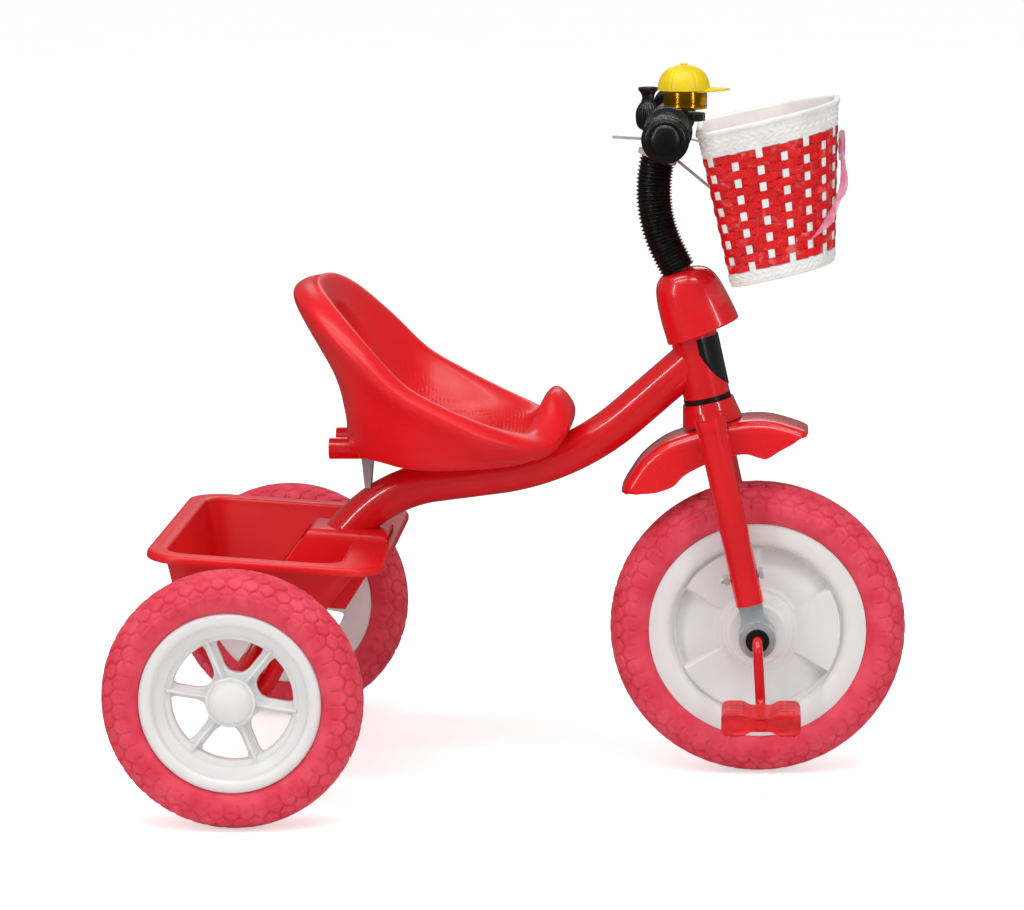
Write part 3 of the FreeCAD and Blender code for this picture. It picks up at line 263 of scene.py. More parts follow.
def ribbon_painted_light(material, place, base):
    """Pale clouds of painted light: where the ribbon lifts from what is behind it, the light that shines through
    it is painted in as a paler colour.
    """
    light_clouds = add_node(material, "ShaderNodeTexNoise", {"Vector": place, "Scale": 60.0, "Detail": 2.0,
                                                     "Distortion": 1.2})
    # Share of the painted pale light, in random clouds.
    share = add_node(material, "ShaderNodeMapRange", {"Value": light_clouds.outputs[0], "From Min": 0.58,
                                                      "From Max": 0.68, "To Min": 0.0, "To Max": 0.42})
    return blended(material, share.outputs[0], base, opaque("#F58A80"))


def foam_cells(material, place):
    """The open cells of cut foam."""
    cells = add_node(material, "ShaderNodeTexVoronoi", {"Vector": place, "Scale": 1 / (1.6 * MM)})
    return cells.outputs["Distance"], 0.12


def knit(material, place):
    """A fine plain weave, drawn at 0.9 mm so that it shows."""
    warp = add_node(material, "ShaderNodeTexWave", {"Vector": place, "Scale": 170.0}, bands_direction="Y")
    weft = add_node(material, "ShaderNodeTexWave", {"Vector": place, "Scale": 170.0}, bands_direction="Z")
    both = add_node(material, "ShaderNodeMath", {0: warp.outputs["Fac"], 1: weft.outputs["Fac"]},
                    operation="MULTIPLY")
    return both.outputs[0], 0.2


def make_materials(settings):
    """All finishes, by the slot that they stand for."""
    colours = settings.colours
    return {
        # Stoved enamel: a hard glossy skin with a slight orange peel.
        "red_enamel": finish("Stoved red enamel", colours.enamel, "#D80E18", 60, (0.17, 0.24), 4.0, 0.008,
                             Coat_Weight=1.0, Coat_Roughness=0.04, Specular_IOR_Level=0.5),
        # Injection-moulded polypropylene: soft gloss, a faint grain from the mould.
        "red_plastic": finish("Moulded red polypropylene", colours.plastic, "#E4101B", 70, (0.30, 0.42),
                              0.9, 0.010, relief=dotted_pan(settings.sizes.pan_dots), IOR=1.49,
                              Coat_Weight=0.12, Coat_Roughness=0.2),
        # The same plastic from a polished mould: bright, crisp highlights.
        "polished_red_plastic": finish("Polished red polypropylene", colours.plastic, "#E4101B", 70,
                                       (0.2, 0.28), 0.9, 0.005, IOR=1.49, Coat_Weight=0.8,
                                       Coat_Roughness=0.05),
        "red_pedal_plastic": finish("Moulded red pedal polypropylene", colours.plastic, "#C20E1A", 14,
                                    (0.32, 0.5), 0.8, 0.03, IOR=1.49),
        # Expanded EVA foam: matt and slightly chalky, with fine cells.
        "pink_foam": finish("Expanded foam tyre", colours.foam, "#DF3049", 22, (0.5, 0.66), 0.7, 0.05,
                            relief=foam_cells, Sheen_Weight=0.12, Sheen_Roughness=0.4, IOR=1.45),
        # Polypropylene wheels: clean, half-gloss, slightly milky.
        "white_wheel_plastic": finish("Moulded white polypropylene", colours.wheel, "#E9E8E6", 40,
                                      (0.26, 0.36), 0.9, 0.012, IOR=1.49, Subsurface_Weight=0.12,
                                      Subsurface_Scale=0.004, Coat_Weight=0.15, Coat_Roughness=0.1),
        # Thin moulded basket, a little translucent: the pink on its inner wall behind the weave is a painted glow,
        # standing in for light from the red weave shining through.
        "white_basket_plastic": finish("Moulded white basket plastic", colours.basket, "#ECEBE7", 25,
                                       (0.34, 0.46), 0.8, 0.02, tint=masked_tint("#F3B9B4", 0.3), IOR=1.49,
                                       Subsurface_Weight=0.15, Subsurface_Scale=0.003),
        # Slit polypropylene ribbon: bright gloss broken by creases, and pale clouds of painted light where it
        # lifts from what is behind it.
        "red_ribbon_weave": finish("Woven polypropylene ribbon", colours.weave, "#D90D16", 12, (0.2, 0.34),
                                   1.2, 0.02, relief=ribbon_creases, tint=ribbon_painted_light, IOR=1.49,
                                   Coat_Weight=0.3, Coat_Roughness=0.12),
        # Black ABS housings and the glossy horn bulb.
        "black_plastic": finish("Moulded black ABS", "#09090B", "#101013", 18, (0.28, 0.42), 0.8,
                                0.015, IOR=1.54),
        # Moulded rubber sleeve and grips: dark, with a waxy half-gloss.
        "black_rubber": finish("Moulded black rubber", "#08080A", "#101012", 14, (0.22, 0.36), 0.6,
                               0.02, IOR=1.52),
        # Zinc plating: pale grey metal with cloudy patches.
        "zinc_plate": finish("Bright zinc plate", "#D3D7DA", "#BFC5C9", 12, (0.30, 0.42), 1.1, 0.012,
                             Metallic=0.55),
        "chrome_plate": finish("Chrome plate", "#C9CCCF", "#B4B8BC", 20, (0.08, 0.16), 1.0, 0.006,
                               Metallic=1.0),
        # Gold-coloured plating on a pressed dome.
        "gold_chrome": finish("Gold-coloured plate", colours.brass, "#C98A12", 16, (0.16, 0.24), 1.2, 0.005,
                              Metallic=1.0),
        "yellow_plastic": finish("Moulded yellow polypropylene", colours.cap, "#E8C408", 16, (0.34, 0.48),
                                 0.8, 0.02, IOR=1.49, Subsurface_Weight=0.1, Subsurface_Scale=0.002),
        # Natural nylon: milky, lets light through.
        "clear_nylon": finish("Natural nylon", "#DAD8D4", "#C9C6C2", 6, (0.3, 0.45), 0.8, 0.02,
                              IOR=1.53, Transmission_Weight=0.35),
        # Sheer nylon ribbon with a visible weave.
        "pink_ribbon": finish("Sheer woven ribbon", colours.bow, "#F7A6C2", 9, (0.35, 0.5), 0.6, 0.02,
                              relief=knit, Sheen_Weight=0.4, Sheen_Roughness=0.3, Transmission_Weight=0.3,
                              Alpha=0.82),
        "black_badge": finish("Black lacquered plate", "#0E0E10", "#17171A", 10, (0.18, 0.3), 1.0,
                              0.01, Coat_Weight=0.6, Coat_Roughness=0.08),
    }


MATERIALS = {}


def paint(piece, slot_name):
    """Gives a piece or a CAD node its one finish."""
    material = MATERIALS[slot_name]
    if piece.material_slots:
        for material_slot in piece.material_slots:
            material_slot.link = "OBJECT"
            material_slot.material = material
    else:
        piece.data.materials.append(material)


# ---------------------------------------------------------------- surfaces

def spline(points, where, closed=False):
    """A smooth curve through points, read at places counted in points: between two neighbours it is the cubic
    that has, at each of them, the slope of the line from the point before to the point after."""
    points = np.asarray(points, float)
    where = np.asarray(where, float)
    if closed:
        ring = np.concatenate([points[-1:], points, points[:2]])
        where = np.mod(where, len(points))
        k = np.minimum(np.floor(where).astype(int), len(points) - 1)
    else:
        ring = np.concatenate([2 * points[:1] - points[1:2], points, 2 * points[-1:] - points[-2:-1]])
        k = np.clip(np.floor(where).astype(int), 0, len(points) - 2)
    f = (where - k).reshape(-1, *[1] * (points.ndim - 1))
    a, b, c, d = (ring[k + step] for step in range(4))
    return b + 0.5 * f * (c - a + f * (2 * a - 5 * b + 4 * c - d + f * (3 * (b - c) + d - a)))


def eased(corners, radius, steps=4, closed=False):
    """A line through corners, each replaced by a quadratic curve that starts and ends a radius from it, or at
    0.45 of a shorter side."""
    corners = np.asarray(corners, float)
    if closed:
        before, middle, after = np.roll(corners, 1, 0), corners, np.roll(corners, -1, 0)
    else:
        before, middle, after = corners[:-2], corners[1:-1], corners[2:]

    def towards(other):
        gap = other - middle
        length = np.linalg.norm(gap, axis=1, keepdims=True)
        return middle + gap * np.minimum(radius / np.maximum(length, 1e-9), 0.45)

    f = np.linspace(0, 1, steps + 1)[None, :, None]
    start, end = towards(before)[:, None], towards(after)[:, None]
    curve = (1 - f) ** 2 * start + 2 * f * (1 - f) * middle[:, None] + f ** 2 * end
    curve = curve.reshape(-1, corners.shape[1])
    return curve if closed else np.concatenate([corners[:1], curve, corners[-1:]])


def smoothstep(low, high, value):
    """0 below low, 1 above high, and 3 f squared less 2 f cubed between."""
    f = np.clip((value - low) / (high - low), 0, 1)
    return f * f * (3 - 2 * f)


def unit(vectors):
    """Vectors scaled to length 1."""
    return vectors / np.maximum(np.linalg.norm(vectors, axis=-1, keepdims=True), 1e-12)


def turns(count):
    """Angles of one turn, as a column."""
    return TURN * np.arange(count)[:, None] / count


def run_length(line):
    """How far along a line each of its points is."""
    return np.concatenate([[0], np.cumsum(np.linalg.norm(np.diff(line, axis=0), axis=1))])


def at_shares(line, share):
    """A line in a plane, read at shares of its length."""
    length = run_length(line)
    return np.stack([np.interp(share * length[-1], length, line[:, k]) for k in range(2)], -1)


def grid(points, around=False, across=False, poles=(False, False), mask=None):
    """A grid of points as faces between next rows and next columns. around joins the last row to the first
    and across the last column to the first; a pole is an end column whose points are all one. Faces are
    turned outwards from the grid's middle by the sign of the volume that they close with it."""
    rows, columns = points.shape[:2]
    ids = np.arange(rows * columns).reshape(rows, columns)
    if poles[0]:
        ids[:, 0] = ids[0, 0]
    if poles[1]:
        ids[:, -1] = ids[0, -1]
    if around:
        ids = np.vstack([ids, ids[:1]])
    if across:
        ids = np.hstack([ids, ids[:, :1]])
    corners = np.stack([ids[:-1, :-1], ids[1:, :-1], ids[1:, 1:], ids[:-1, 1:]], -1).reshape(-1, 4)
    low = corners[:, 0] == corners[:, 1]
    high = corners[:, 2] == corners[:, 3]
    quads = corners[~(low | high)]
    triangles = np.concatenate([corners[low][:, [0, 2, 3]], corners[high][:, [0, 1, 2]]])
    flat = points.reshape(-1, 3)
    middle = flat[np.unique(corners)].mean(0)
    halves = np.concatenate([quads[:, :3], quads[:, [0, 2, 3]], triangles])
    a, b, c = (flat[halves[:, k]] - middle for k in range(3))
    if np.einsum("ij,ij->i", a, np.cross(b, c)).sum() < 0:
        quads, triangles = quads[:, ::-1], triangles[:, ::-1]
    used, index = np.unique(np.concatenate([quads.ravel(), triangles.ravel()]), return_inverse=True)
    values = np.zeros(len(flat)) if mask is None else np.broadcast_to(mask, (rows, columns)).ravel()
    return flat[used], index[:quads.size].reshape(-1, 4), index[quads.size:].reshape(-1, 3), values[used]


def make_piece(name, parts, body, slot_name, replaced=(), sharp=None, look=None):
    """Puts one or more grids into a mesh object that rides on a body, has a finish, and stands for CAD nodes.
    look is the finish where it isn't the slot's own."""
    vertices, faces, masks, start = [], [], [], 0
    for points, quads, triangles, mask in parts:
        vertices.append(points)
        masks.append(mask)
        faces += (quads + start).tolist() + (triangles + start).tolist()
        start += len(points)
    mesh = bpy.data.meshes.new(name)
    mesh.from_pydata(np.concatenate(vertices).tolist(), [], faces)
    mesh.polygons.foreach_set("use_smooth", np.ones(len(faces), bool))
    if sharp is not None:
        mesh.set_sharp_from_angle(angle=math.radians(sharp))
    attribute = mesh.attributes.new("mask", "FLOAT", "POINT")
    attribute.data.foreach_set("value", np.concatenate(masks).astype(np.float32))
    piece = bpy.data.objects.new(name, mesh)
    bpy.context.scene.collection.objects.link(piece)
    paint(piece, look or slot_name)
    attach(piece, body)
    if replaced:
        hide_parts(*replaced)
    return piece


def closed_grid(points, **options):
    """A grid that joins round and ends in a pole at each end."""
    return grid(points, around=True, poles=(True, True), **options)


def turned_points(radius, angle, along, centre, axis=UP, ahead=AHEAD):
    """Places turned about an axis, in millimetres: centre + radius (ahead cos(angle) + side sin(angle)) +
    along axis, where side is square to the two."""
    radius, angle, along = (values[..., None] for values in np.broadcast_arrays(radius, angle, along))
    side = np.cross(axis, ahead)
    return centre + MM * (radius * np.cos(angle) * ahead + radius * np.sin(angle) * side + along * axis)


def lathe(profile, centre, axis=UP, count=96, closed=False):
    """A profile of (radius, along) turned about an axis. It is a closed outline, or a line on which a radius
    of 0 at an end is a pole."""
    radius, along = np.asarray(profile, float).T[:, None, :]
    points = turned_points(radius, turns(count), along, centre, axis)
    return grid(points, around=True, across=closed, poles=(radius[0, 0] == 0, radius[0, -1] == 0))


def wheel_points(radius, angle, out, centre, side):
    """A wheel's places in millimetres: x = centre + radius cos(angle), z = centre + radius sin(angle), and y
    = centre + side times out."""
    radius, angle, out = np.broadcast_arrays(radius, angle, out)
    return centre + MM * np.stack([radius * np.cos(angle), side * out, radius * np.sin(angle)], -1)


# ---------------------------------------------------------------- wheels

REAR_RIM_RADIUS, FRONT_RIM_RADIUS = 75.6, 93.0
LUG_ROW_GAP = 10.2
# Half of the tyre's outline, from the seat on the rim to the crown, as shares of its depth and of its half
# width.
TYRE_OUTLINE = [(0.0, 0.74), (0.10, 0.90), (0.36, 1.0), (0.62, 0.94), (0.83, 0.74), (0.95, 0.42), (1.0, 0.0)]


def lug_height(along, across, pitch, row_gap, groove):
    """Lugs centred on a staggered lattice. Where a place is as far from its nearest centre as from the next
    one the height is 0, and it rises to 1 over a groove's half width."""
    gaps = []
    for row in range(-4, 5):
        shift = 0.5 * (row % 2)
        nearest = (np.floor(along / pitch - shift) + shift) * pitch
        for step in (0, 1):
            gaps.append(np.hypot(along - nearest - step * pitch, 1.15 * (across - row * row_gap)))
    nearest_two = np.partition(np.stack(gaps, -1), 1, axis=-1)[..., :2]
    edge = nearest_two[..., 1] - nearest_two[..., 0]
    return smoothstep(0.25 * groove, 1.1 * groove, edge) * (1 - 0.10 * (nearest_two[..., 0] / row_gap) ** 2)


def tyre(name, rim_radius, lugs, sizes, count):
    """A foam tyre: a smooth closed outline carried round the axle, with staggered lugs cut into its crown and
    shoulders."""
    centre = node_middle(name)
    size = node_size(name) / MM
    radius, half = size[2] / 2, size[1] / 2
    shares = np.array(TYRE_OUTLINE + [(d, -w) for d, w in reversed(TYRE_OUTLINE[:-1])])
    keys = np.stack([rim_radius + shares[:, 0] * (radius - rim_radius), shares[:, 1] * half], -1)
    where = np.concatenate([np.linspace(0, 1.4, 6)[:-1], np.linspace(1.4, 10.6, 96)[:-1],
                            np.linspace(10.6, 12, 6)])
    outline = spline(keys, where)
    across = run_length(outline)
    across = across - across[-1] / 2
    angle = turns(count)
    groove, most = sizes.groove_width / MM, sizes.groove_depth / MM
    height = lug_height(angle * radius, across[None, :] + 0 * angle, TURN * radius / lugs, LUG_ROW_GAP,
                        groove)
    away = np.abs(across)[None, :]
    sink = most * (1 - height) * (1 - smoothstep(29.0, 31.0, away))
    gap = np.abs(np.sin(0.5 * lugs * angle))
    between = 1 - smoothstep(0.12, 0.42, gap)
    sink = sink + 0.35 * most * smoothstep(29.5, 31.0, away) * (1 - smoothstep(31.4, 33.0, away))
    sink = sink + 0.6 * most * between * smoothstep(32.0, 33.0, away) * (1 - smoothstep(37.0, 38.5, away))
    outward = unit(outline - np.array([rim_radius + 0.35 * (radius - rim_radius), 0]))
    points = wheel_points(outline[:, 0] - sink * outward[:, 0], angle, outline[:, 1] - sink * outward[:, 1],
                          centre, 1.0)
    body = "front_wheel" if name == "front_tyre" else name.replace("tyre", "wheel")
    return make_piece(name + "_foam", [grid(points, around=True, across=True)], body, "pink_foam", [name])


REAR_SPOKES = 6
SPOKE_START = math.radians(51)


def rear_wheel_middle(name):
    """The middle of a rear wheel, on the axle."""
    return np.array([REAR_AXLE[0], node_middle("rear_tyre_" + name)[1], REAR_AXLE[2]])


def wheel_ring(outline, centre, side, swell=1.0):
    """A closed outline of (radius, out) carried round a wheel's axle, with its radius scaled by swell."""
    points = wheel_points(swell * outline[None, :, 0], turns(180), outline[None, :, 1], centre, side)
    return grid(points, around=True, across=True)


def rear_wheel_moulding(name, side):
    """A rear wheel's moulding: a rounded barrel, a hub, a star-shaped flange, and six spokes whose T section
    is carried out from the hub and widens at both ends."""
    centre = rear_wheel_middle(name)
    barrel = eased([(75.6, 15.5), (74.6, 18.6), (71.5, 20.4), (67.5, 20.2), (64.6, 18.2), (63.6, 14.2),
                    (62.2, 13.2), (55.5, 9.6), (54.6, 6.2), (51.0, 5.4), (50, 0), (51.5, -7), (62, -16),
                    (66, -18), (75.6, -18)], 1.6, 4, closed=True)
    hub = eased([(8, 9.5), (18.5, 9.5), (18.5, -24), (8, -24)], 1.2, 4, closed=True)
    flange = eased([(12, 1.2), (24.6, 1.2), (24.6, -4.4), (12, -4.4)], 1.0, 3, closed=True)
    points_of_star = np.cos(REAR_SPOKES * (turns(180) - SPOKE_START))
    star = 1 + 0.085 * points_of_star * smoothstep(14, 24, flange[None, :, 0])
    parts = [wheel_ring(barrel, centre, side), wheel_ring(hub, centre, side),
             wheel_ring(flange, centre, side, star)]
    reach = np.concatenate([[15.0], np.linspace(15, 54, 27), [54.0]])
    wide = 5.0 + 3.2 * smoothstep(43, 54, reach) ** 2 + 2.4 * (1 - smoothstep(20, 30, reach))
    section = eased([(-1, -5), (1, -5), (1, 0.6), (0.34, 1.0), (0.22, 8), (-0.22, 8), (-0.34, 1.0),
                     (-1, 0.6)], 0.5, 3, closed=True)
    narrow = np.abs(section[:, 0]) < 0.5
    for k in range(REAR_SPOKES):
        turn = SPOKE_START + TURN * k / REAR_SPOKES
        tangent = section[None, :, 0] * np.where(narrow[None, :], 5.25, wide[:, None])
        out = section[None, :, 1] + 0 * tangent
        tangent[[0, -1]] = 0
        out[[0, -1]] = 0
        along = reach[:, None] + 0 * tangent
        x = along * math.cos(turn) - tangent * math.sin(turn)
        z = along * math.sin(turn) + tangent * math.cos(turn)
        points = centre + MM * np.stack([x, side * out, z], -1)
        parts.append(closed_grid(points.transpose(1, 0, 2)))
    return make_piece("rear_wheel_moulding_" + name, parts, "rear_wheel_" + name, "white_wheel_plastic",
                      ["rear_rim_" + name], sharp=50)


def hub_cap(name, side):
    """A domed cap: a stepped flange and a dome that is a little flatter than a ball, turned about the
    axle."""
    dome = [(17.4 * math.sin(a), 14.2 + 7.3 * math.cos(a)) for a in np.linspace(0, math.pi / 2, 15)]
    rest = eased([dome[-1], (17.6, 13.7), (18.3, 13.6), (18.8, 14.2), (20.2, 14.0), (20.8, 13.0), (20.8, 9.6),
                  (0, 9.6)], 0.5, 3)
    profile = np.concatenate([np.array(dome), rest[1:]])
    return make_piece("hub_dome_" + name, [lathe(profile, rear_wheel_middle(name), side * LEFT)],
                      "rear_wheel_" + name, "white_wheel_plastic", ["rear_hub_cap_" + name], sharp=60)


def front_disc_profile():
    """Places along the front wheel's outline, close together on the disc, from the hub's bore to the rim's
    edge."""
    hub = eased([(8, 33.5), (24.5, 33.5), (26, 32), (26.4, 24.5), (30.5, 23.5), (31, 17), (33.5, 15.5),
                 (35, 15.4)], 1.2, 4)
    disc = np.stack([np.linspace(35.6, 70.5, 36), np.full(36, 15.4)], -1)
    rim = eased([(70.9, 15.2), (71.5, 12.2), (73.4, 12.2), (74.6, 17.4), (76.5, 19.8), (80, 20.9), (86, 20.9),
                 (93, 19.4)], 1.1, 4)
    return np.concatenate([hub, disc, rim])


def front_disc_sink(radius, angle):
    """How deep the disc lies under its flush face: 0 in the flush sectors, and in the sectors between it
    grows with the radius, with short slopes at the sectors' sides, the hub and the rim."""
    turn = np.mod(angle - math.radians(29), TURN / 3)
    side_slope = (smoothstep(0, math.radians(2.2), turn)
                  * (1 - smoothstep(math.radians(57.8), math.radians(60), turn)))
    ring = smoothstep(35, 38, radius) * (1 - smoothstep(70.2, 71.2, radius))
    scoop = (2.2 + 8.8 * smoothstep(36, 70, radius)) * side_slope
    return scoop * ring


def front_wheel_piece():
    """The closed front wheel: the outline on each face, sunk in three sectors, turned about the axle."""
    centre = node_middle("front_tyre")
    angle = turns(480)
    half = front_disc_profile()
    profile = np.concatenate([half, half[::-1] * np.array([1, -1])])
    face = np.sign(profile[None, :, 1])
    sunk = front_disc_sink(profile[None, :, 0], angle)
    out = profile[None, :, 1] - face * sunk
    parts = [grid(wheel_points(profile[None, :, 0], angle, out, centre, 1.0), around=True, across=True)]
    return make_piece("front_wheel_moulding", parts, "front_wheel", "white_wheel_plastic", ["front_rim"],
                      sharp=55)


TREAD_PITCH, TREAD_HEIGHT, TREAD_BAR = 5.2, 0.7, 11.0


def pedal(name, side):
    """A block pedal: a waisted outline carried along the spindle, with cross treads on its faces, rounded
    ends and a sunk panel in each end."""
    centre = node_middle("pedal_" + name)
    outline = eased([(-33, -7), (-33, 7), (-29, 10), (-15, 10), (-9, 6.4), (9, 6.4), (15, 10), (29, 10),
                     (33, 7), (33, -7), (29, -10), (15, -10), (9, -6.4), (-9, -6.4), (-15, -10), (-29, -10)],
                    2.5, 4, closed=True)
    fine = np.arange(0, len(outline), 0.25)
    outline = spline(outline, fine, closed=True)
    along = np.concatenate([[-24.0, -24.0, -24.2, -25.0, -25.0, -24.6, -23.6], np.linspace(-22, 22, 34),
                            [23.6, 24.6, 25.0, 25.0, 24.2, 24.0, 24.0]])
    shrink = np.concatenate([[0, 0.80, 0.84, 0.87, 0.93, 0.975, 1.0], np.ones(34),
                             [1.0, 0.975, 0.93, 0.87, 0.84, 0.80, 0]])
    x = outline[:, 0][:, None] * shrink
    z = outline[:, 1][:, None] * (1 - (1 - shrink) * 1.6).clip(0, 1)
    treads = smoothstep(0.1, 0.6, np.sin(TURN * x / TREAD_PITCH)) * smoothstep(11, 14,
                                                                               np.abs(x)) * (np.abs(x) < 30)
    bars = smoothstep(-0.3, 0.3, np.sin(TURN * along[None, :] / TREAD_BAR))
    raised = treads * bars * smoothstep(6.0, 9.0, np.abs(z)) * (shrink > 0.99)
    z = z + np.sign(z) * TREAD_HEIGHT * (raised - 0.5) * (np.abs(z) > 6)
    points = centre + MM * np.stack([x, side * along[None, :] + 0 * x, z], -1)
    return make_piece("pedal_block_" + name, [closed_grid(points)], "pedal_" + name,
                      "red_pedal_plastic", ["pedal_" + name], sharp=45)


# ---------------------------------------------------------------- seat and bucket

# Loops round the seat, in millimetres from the rear axle, each from the middle of the front to the middle of
# the back.
SEAT_LOOPS = [
    [(232, 0, 291), (226, 22, 291), (216, 40, 291), (203, 54, 291), (188, 62, 291), (172, 66, 291),
     (155, 66, 291), (140, 62, 291), (128, 52, 291), (119, 38, 291), (113, 20, 291), (111, 0, 291)],
    [(243, 0, 308), (239, 22, 305), (228, 42, 298), (214, 60, 297), (198, 74, 300), (180, 83, 306),
     (158, 88, 314), (138, 89, 324), (120, 84, 338), (102, 68, 352), (90, 42, 360), (86, 0, 362)],
    [(248, 0, 328), (246, 22, 325), (240, 42, 312), (231, 62, 304), (216, 81, 308), (194, 94, 318),
     (167, 102, 332), (138, 105, 350), (110, 100, 379), (84, 80, 406), (68, 48, 420), (62, 0, 424)],
    [(260, 0, 335), (257, 24, 332), (252, 47, 317), (243, 70, 307), (226, 92, 311), (200, 106, 321),
     (170, 114, 335), (137, 117, 354), (105, 112, 385), (76, 92, 413), (58, 56, 427), (50, 0, 430)],
    [(273, 0, 318), (270, 28, 315), (265, 54, 304), (254, 80, 297), (233, 104, 300), (202, 118, 310),
     (169, 124, 325), (133, 127, 344), (96, 121, 375), (62, 99, 403), (42, 58, 415), (34, 0, 417)],
    [(268, 0, 298), (263, 27, 292), (256, 50, 287), (243, 73, 285), (221, 92, 288), (194, 105, 296),
     (163, 111, 309), (132, 112, 323), (104, 103, 337), (83, 82, 349), (71, 48, 355), (67, 0, 357)],
    [(254, 0, 285), (250, 28, 283), (244, 49, 282), (233, 68, 282), (214, 83, 284), (190, 93, 287),
     (162, 98, 292), (134, 98, 298), (111, 90, 306), (91, 71, 315), (80, 42, 319), (76, 0, 320)],
    [(238, 0, 277), (235, 26, 277), (229, 46, 277), (219, 62, 277), (203, 74, 277), (182, 81, 277),
     (159, 84, 277), (135, 83, 278.5), (114, 76, 282.5), (97, 60, 284), (85, 34, 284.3), (81, 0, 284.5)],
]


# The oval pressed into the backrest: its middle's height, its half height and half width, and its depth.
OVAL_UP, OVAL_HEIGHT, OVAL_WIDTH, OVAL_DEPTH = 370.0, 35.0, 54.0, 8.5


def closed_loops(half_loops):
    """Half loops with their mirror images, as closed loops."""
    half = np.asarray(half_loops, float)
    return np.concatenate([half, half[:, -2:0:-1] * np.array([1, -1, 1])], axis=1)


def seat_piece():
    """The scoop seat: smooth closed loops from the middle of the pan out over the rolled edge and down to the
    middle of the foot, joined by smooth curves across them. A shallow oval is pressed into the backrest."""
    loops = closed_loops(SEAT_LOOPS)
    pan, foot = loops[0], loops[-1]
    pan_middle, foot_middle = pan.mean(0), foot.mean(0)
    inner = [pan_middle + (pan - pan_middle) * share for share in (0.0, 0.35, 0.7)]
    inner[1][:, 2] = inner[2][:, 2] = pan_middle[2] - 0.6
    outer = [foot_middle + (foot - foot_middle) * share for share in (0.7, 0.35, 0.0)]
    loops = np.array(inner + list(loops) + outer)
    around = np.arange(360) * loops.shape[1] / 360
    rings = spline(loops.transpose(1, 0, 2), around, closed=True)
    where = np.concatenate([np.linspace(0, 3, 10)[:-1], np.linspace(3, 8, 110)[:-1],
                            np.linspace(8, 10, 24)[:-1], np.linspace(10, 13, 8)])
    points = spline(rings.transpose(1, 0, 2), where).transpose(1, 0, 2)
    x, y, z = points[..., 0], points[..., 1], points[..., 2]
    inside = (where[None, :] < 5.6) & (x < 135)
    hollow = np.exp(-(((z - OVAL_UP) / OVAL_HEIGHT) ** 2 + (y / OVAL_WIDTH) ** 2) ** 7) * inside
    points[..., 0] = x - OVAL_DEPTH * hollow
    pan_share = (1 - smoothstep(3.3, 4.6, where))[None, :]
    pommel = smoothstep(205, 222, x) * (1 - smoothstep(4.6, 5.2, where))[None, :]
    mask = np.maximum(pan_share, pommel)
    shell = closed_grid(from_rear_axle(points[..., 0], y, z), mask=mask)
    return make_piece("seat_shell", [shell], "frame", "red_plastic", ["seat"])


BUCKET_TILT = math.radians(4)
BUCKET_PLACE = np.array([18.0, 0.0, 211.0])
# The bucket's outlines as (back, front, half width): its rim, and its mouth and floor inside and outside.
BUCKET_RIM = (-99.0, 100.0, 148.0)
BUCKET_MOUTH = (-83.4, 65.0, 129.4)
BUCKET_FLOOR = (-69.4, 40.0, 109.4)
BUCKET_MOUTH_OUT = (-86.0, 83.0, 132.0)
BUCKET_FLOOR_OUT = (-72.0, 42.6, 112.0)


def rounded_loop(x0, x1, half, radius, count=15, runs=14):
    """A level rectangle with round corners: count points on each corner's arc and runs points on each
    side."""
    points = []
    corners = [(x0, -half, 1, 1, 180), (x1, -half, -1, 1, 270), (x1, half, -1, -1, 0), (x0, half, 1, -1, 90)]
    arcs = []
    for x, y, dx, dy, start in corners:
        angle = np.radians(start + np.linspace(0, 90, count))
        arcs.append(np.stack([x + dx * radius + radius * np.cos(angle),
                              y + dy * radius + radius * np.sin(angle)], -1))
    for arc, following in zip(arcs, arcs[1:] + arcs[:1]):
        f = np.linspace(0, 1, runs + 2)[1:-1, None]
        points += [arc, arc[-1] + (following[0] - arc[-1]) * f]
    return np.concatenate(points)


def tilted_bucket(x, y, z):
    """The bucket's own level frame, tipped nose down about its middle and put in place: x' = x cos + z sin,
    and z' = z cos - x sin."""
    c, s = math.cos(BUCKET_TILT), math.sin(BUCKET_TILT)
    return from_rear_axle(BUCKET_PLACE[0] + x * c + z * s, y, BUCKET_PLACE[2] + z * c - x * s)


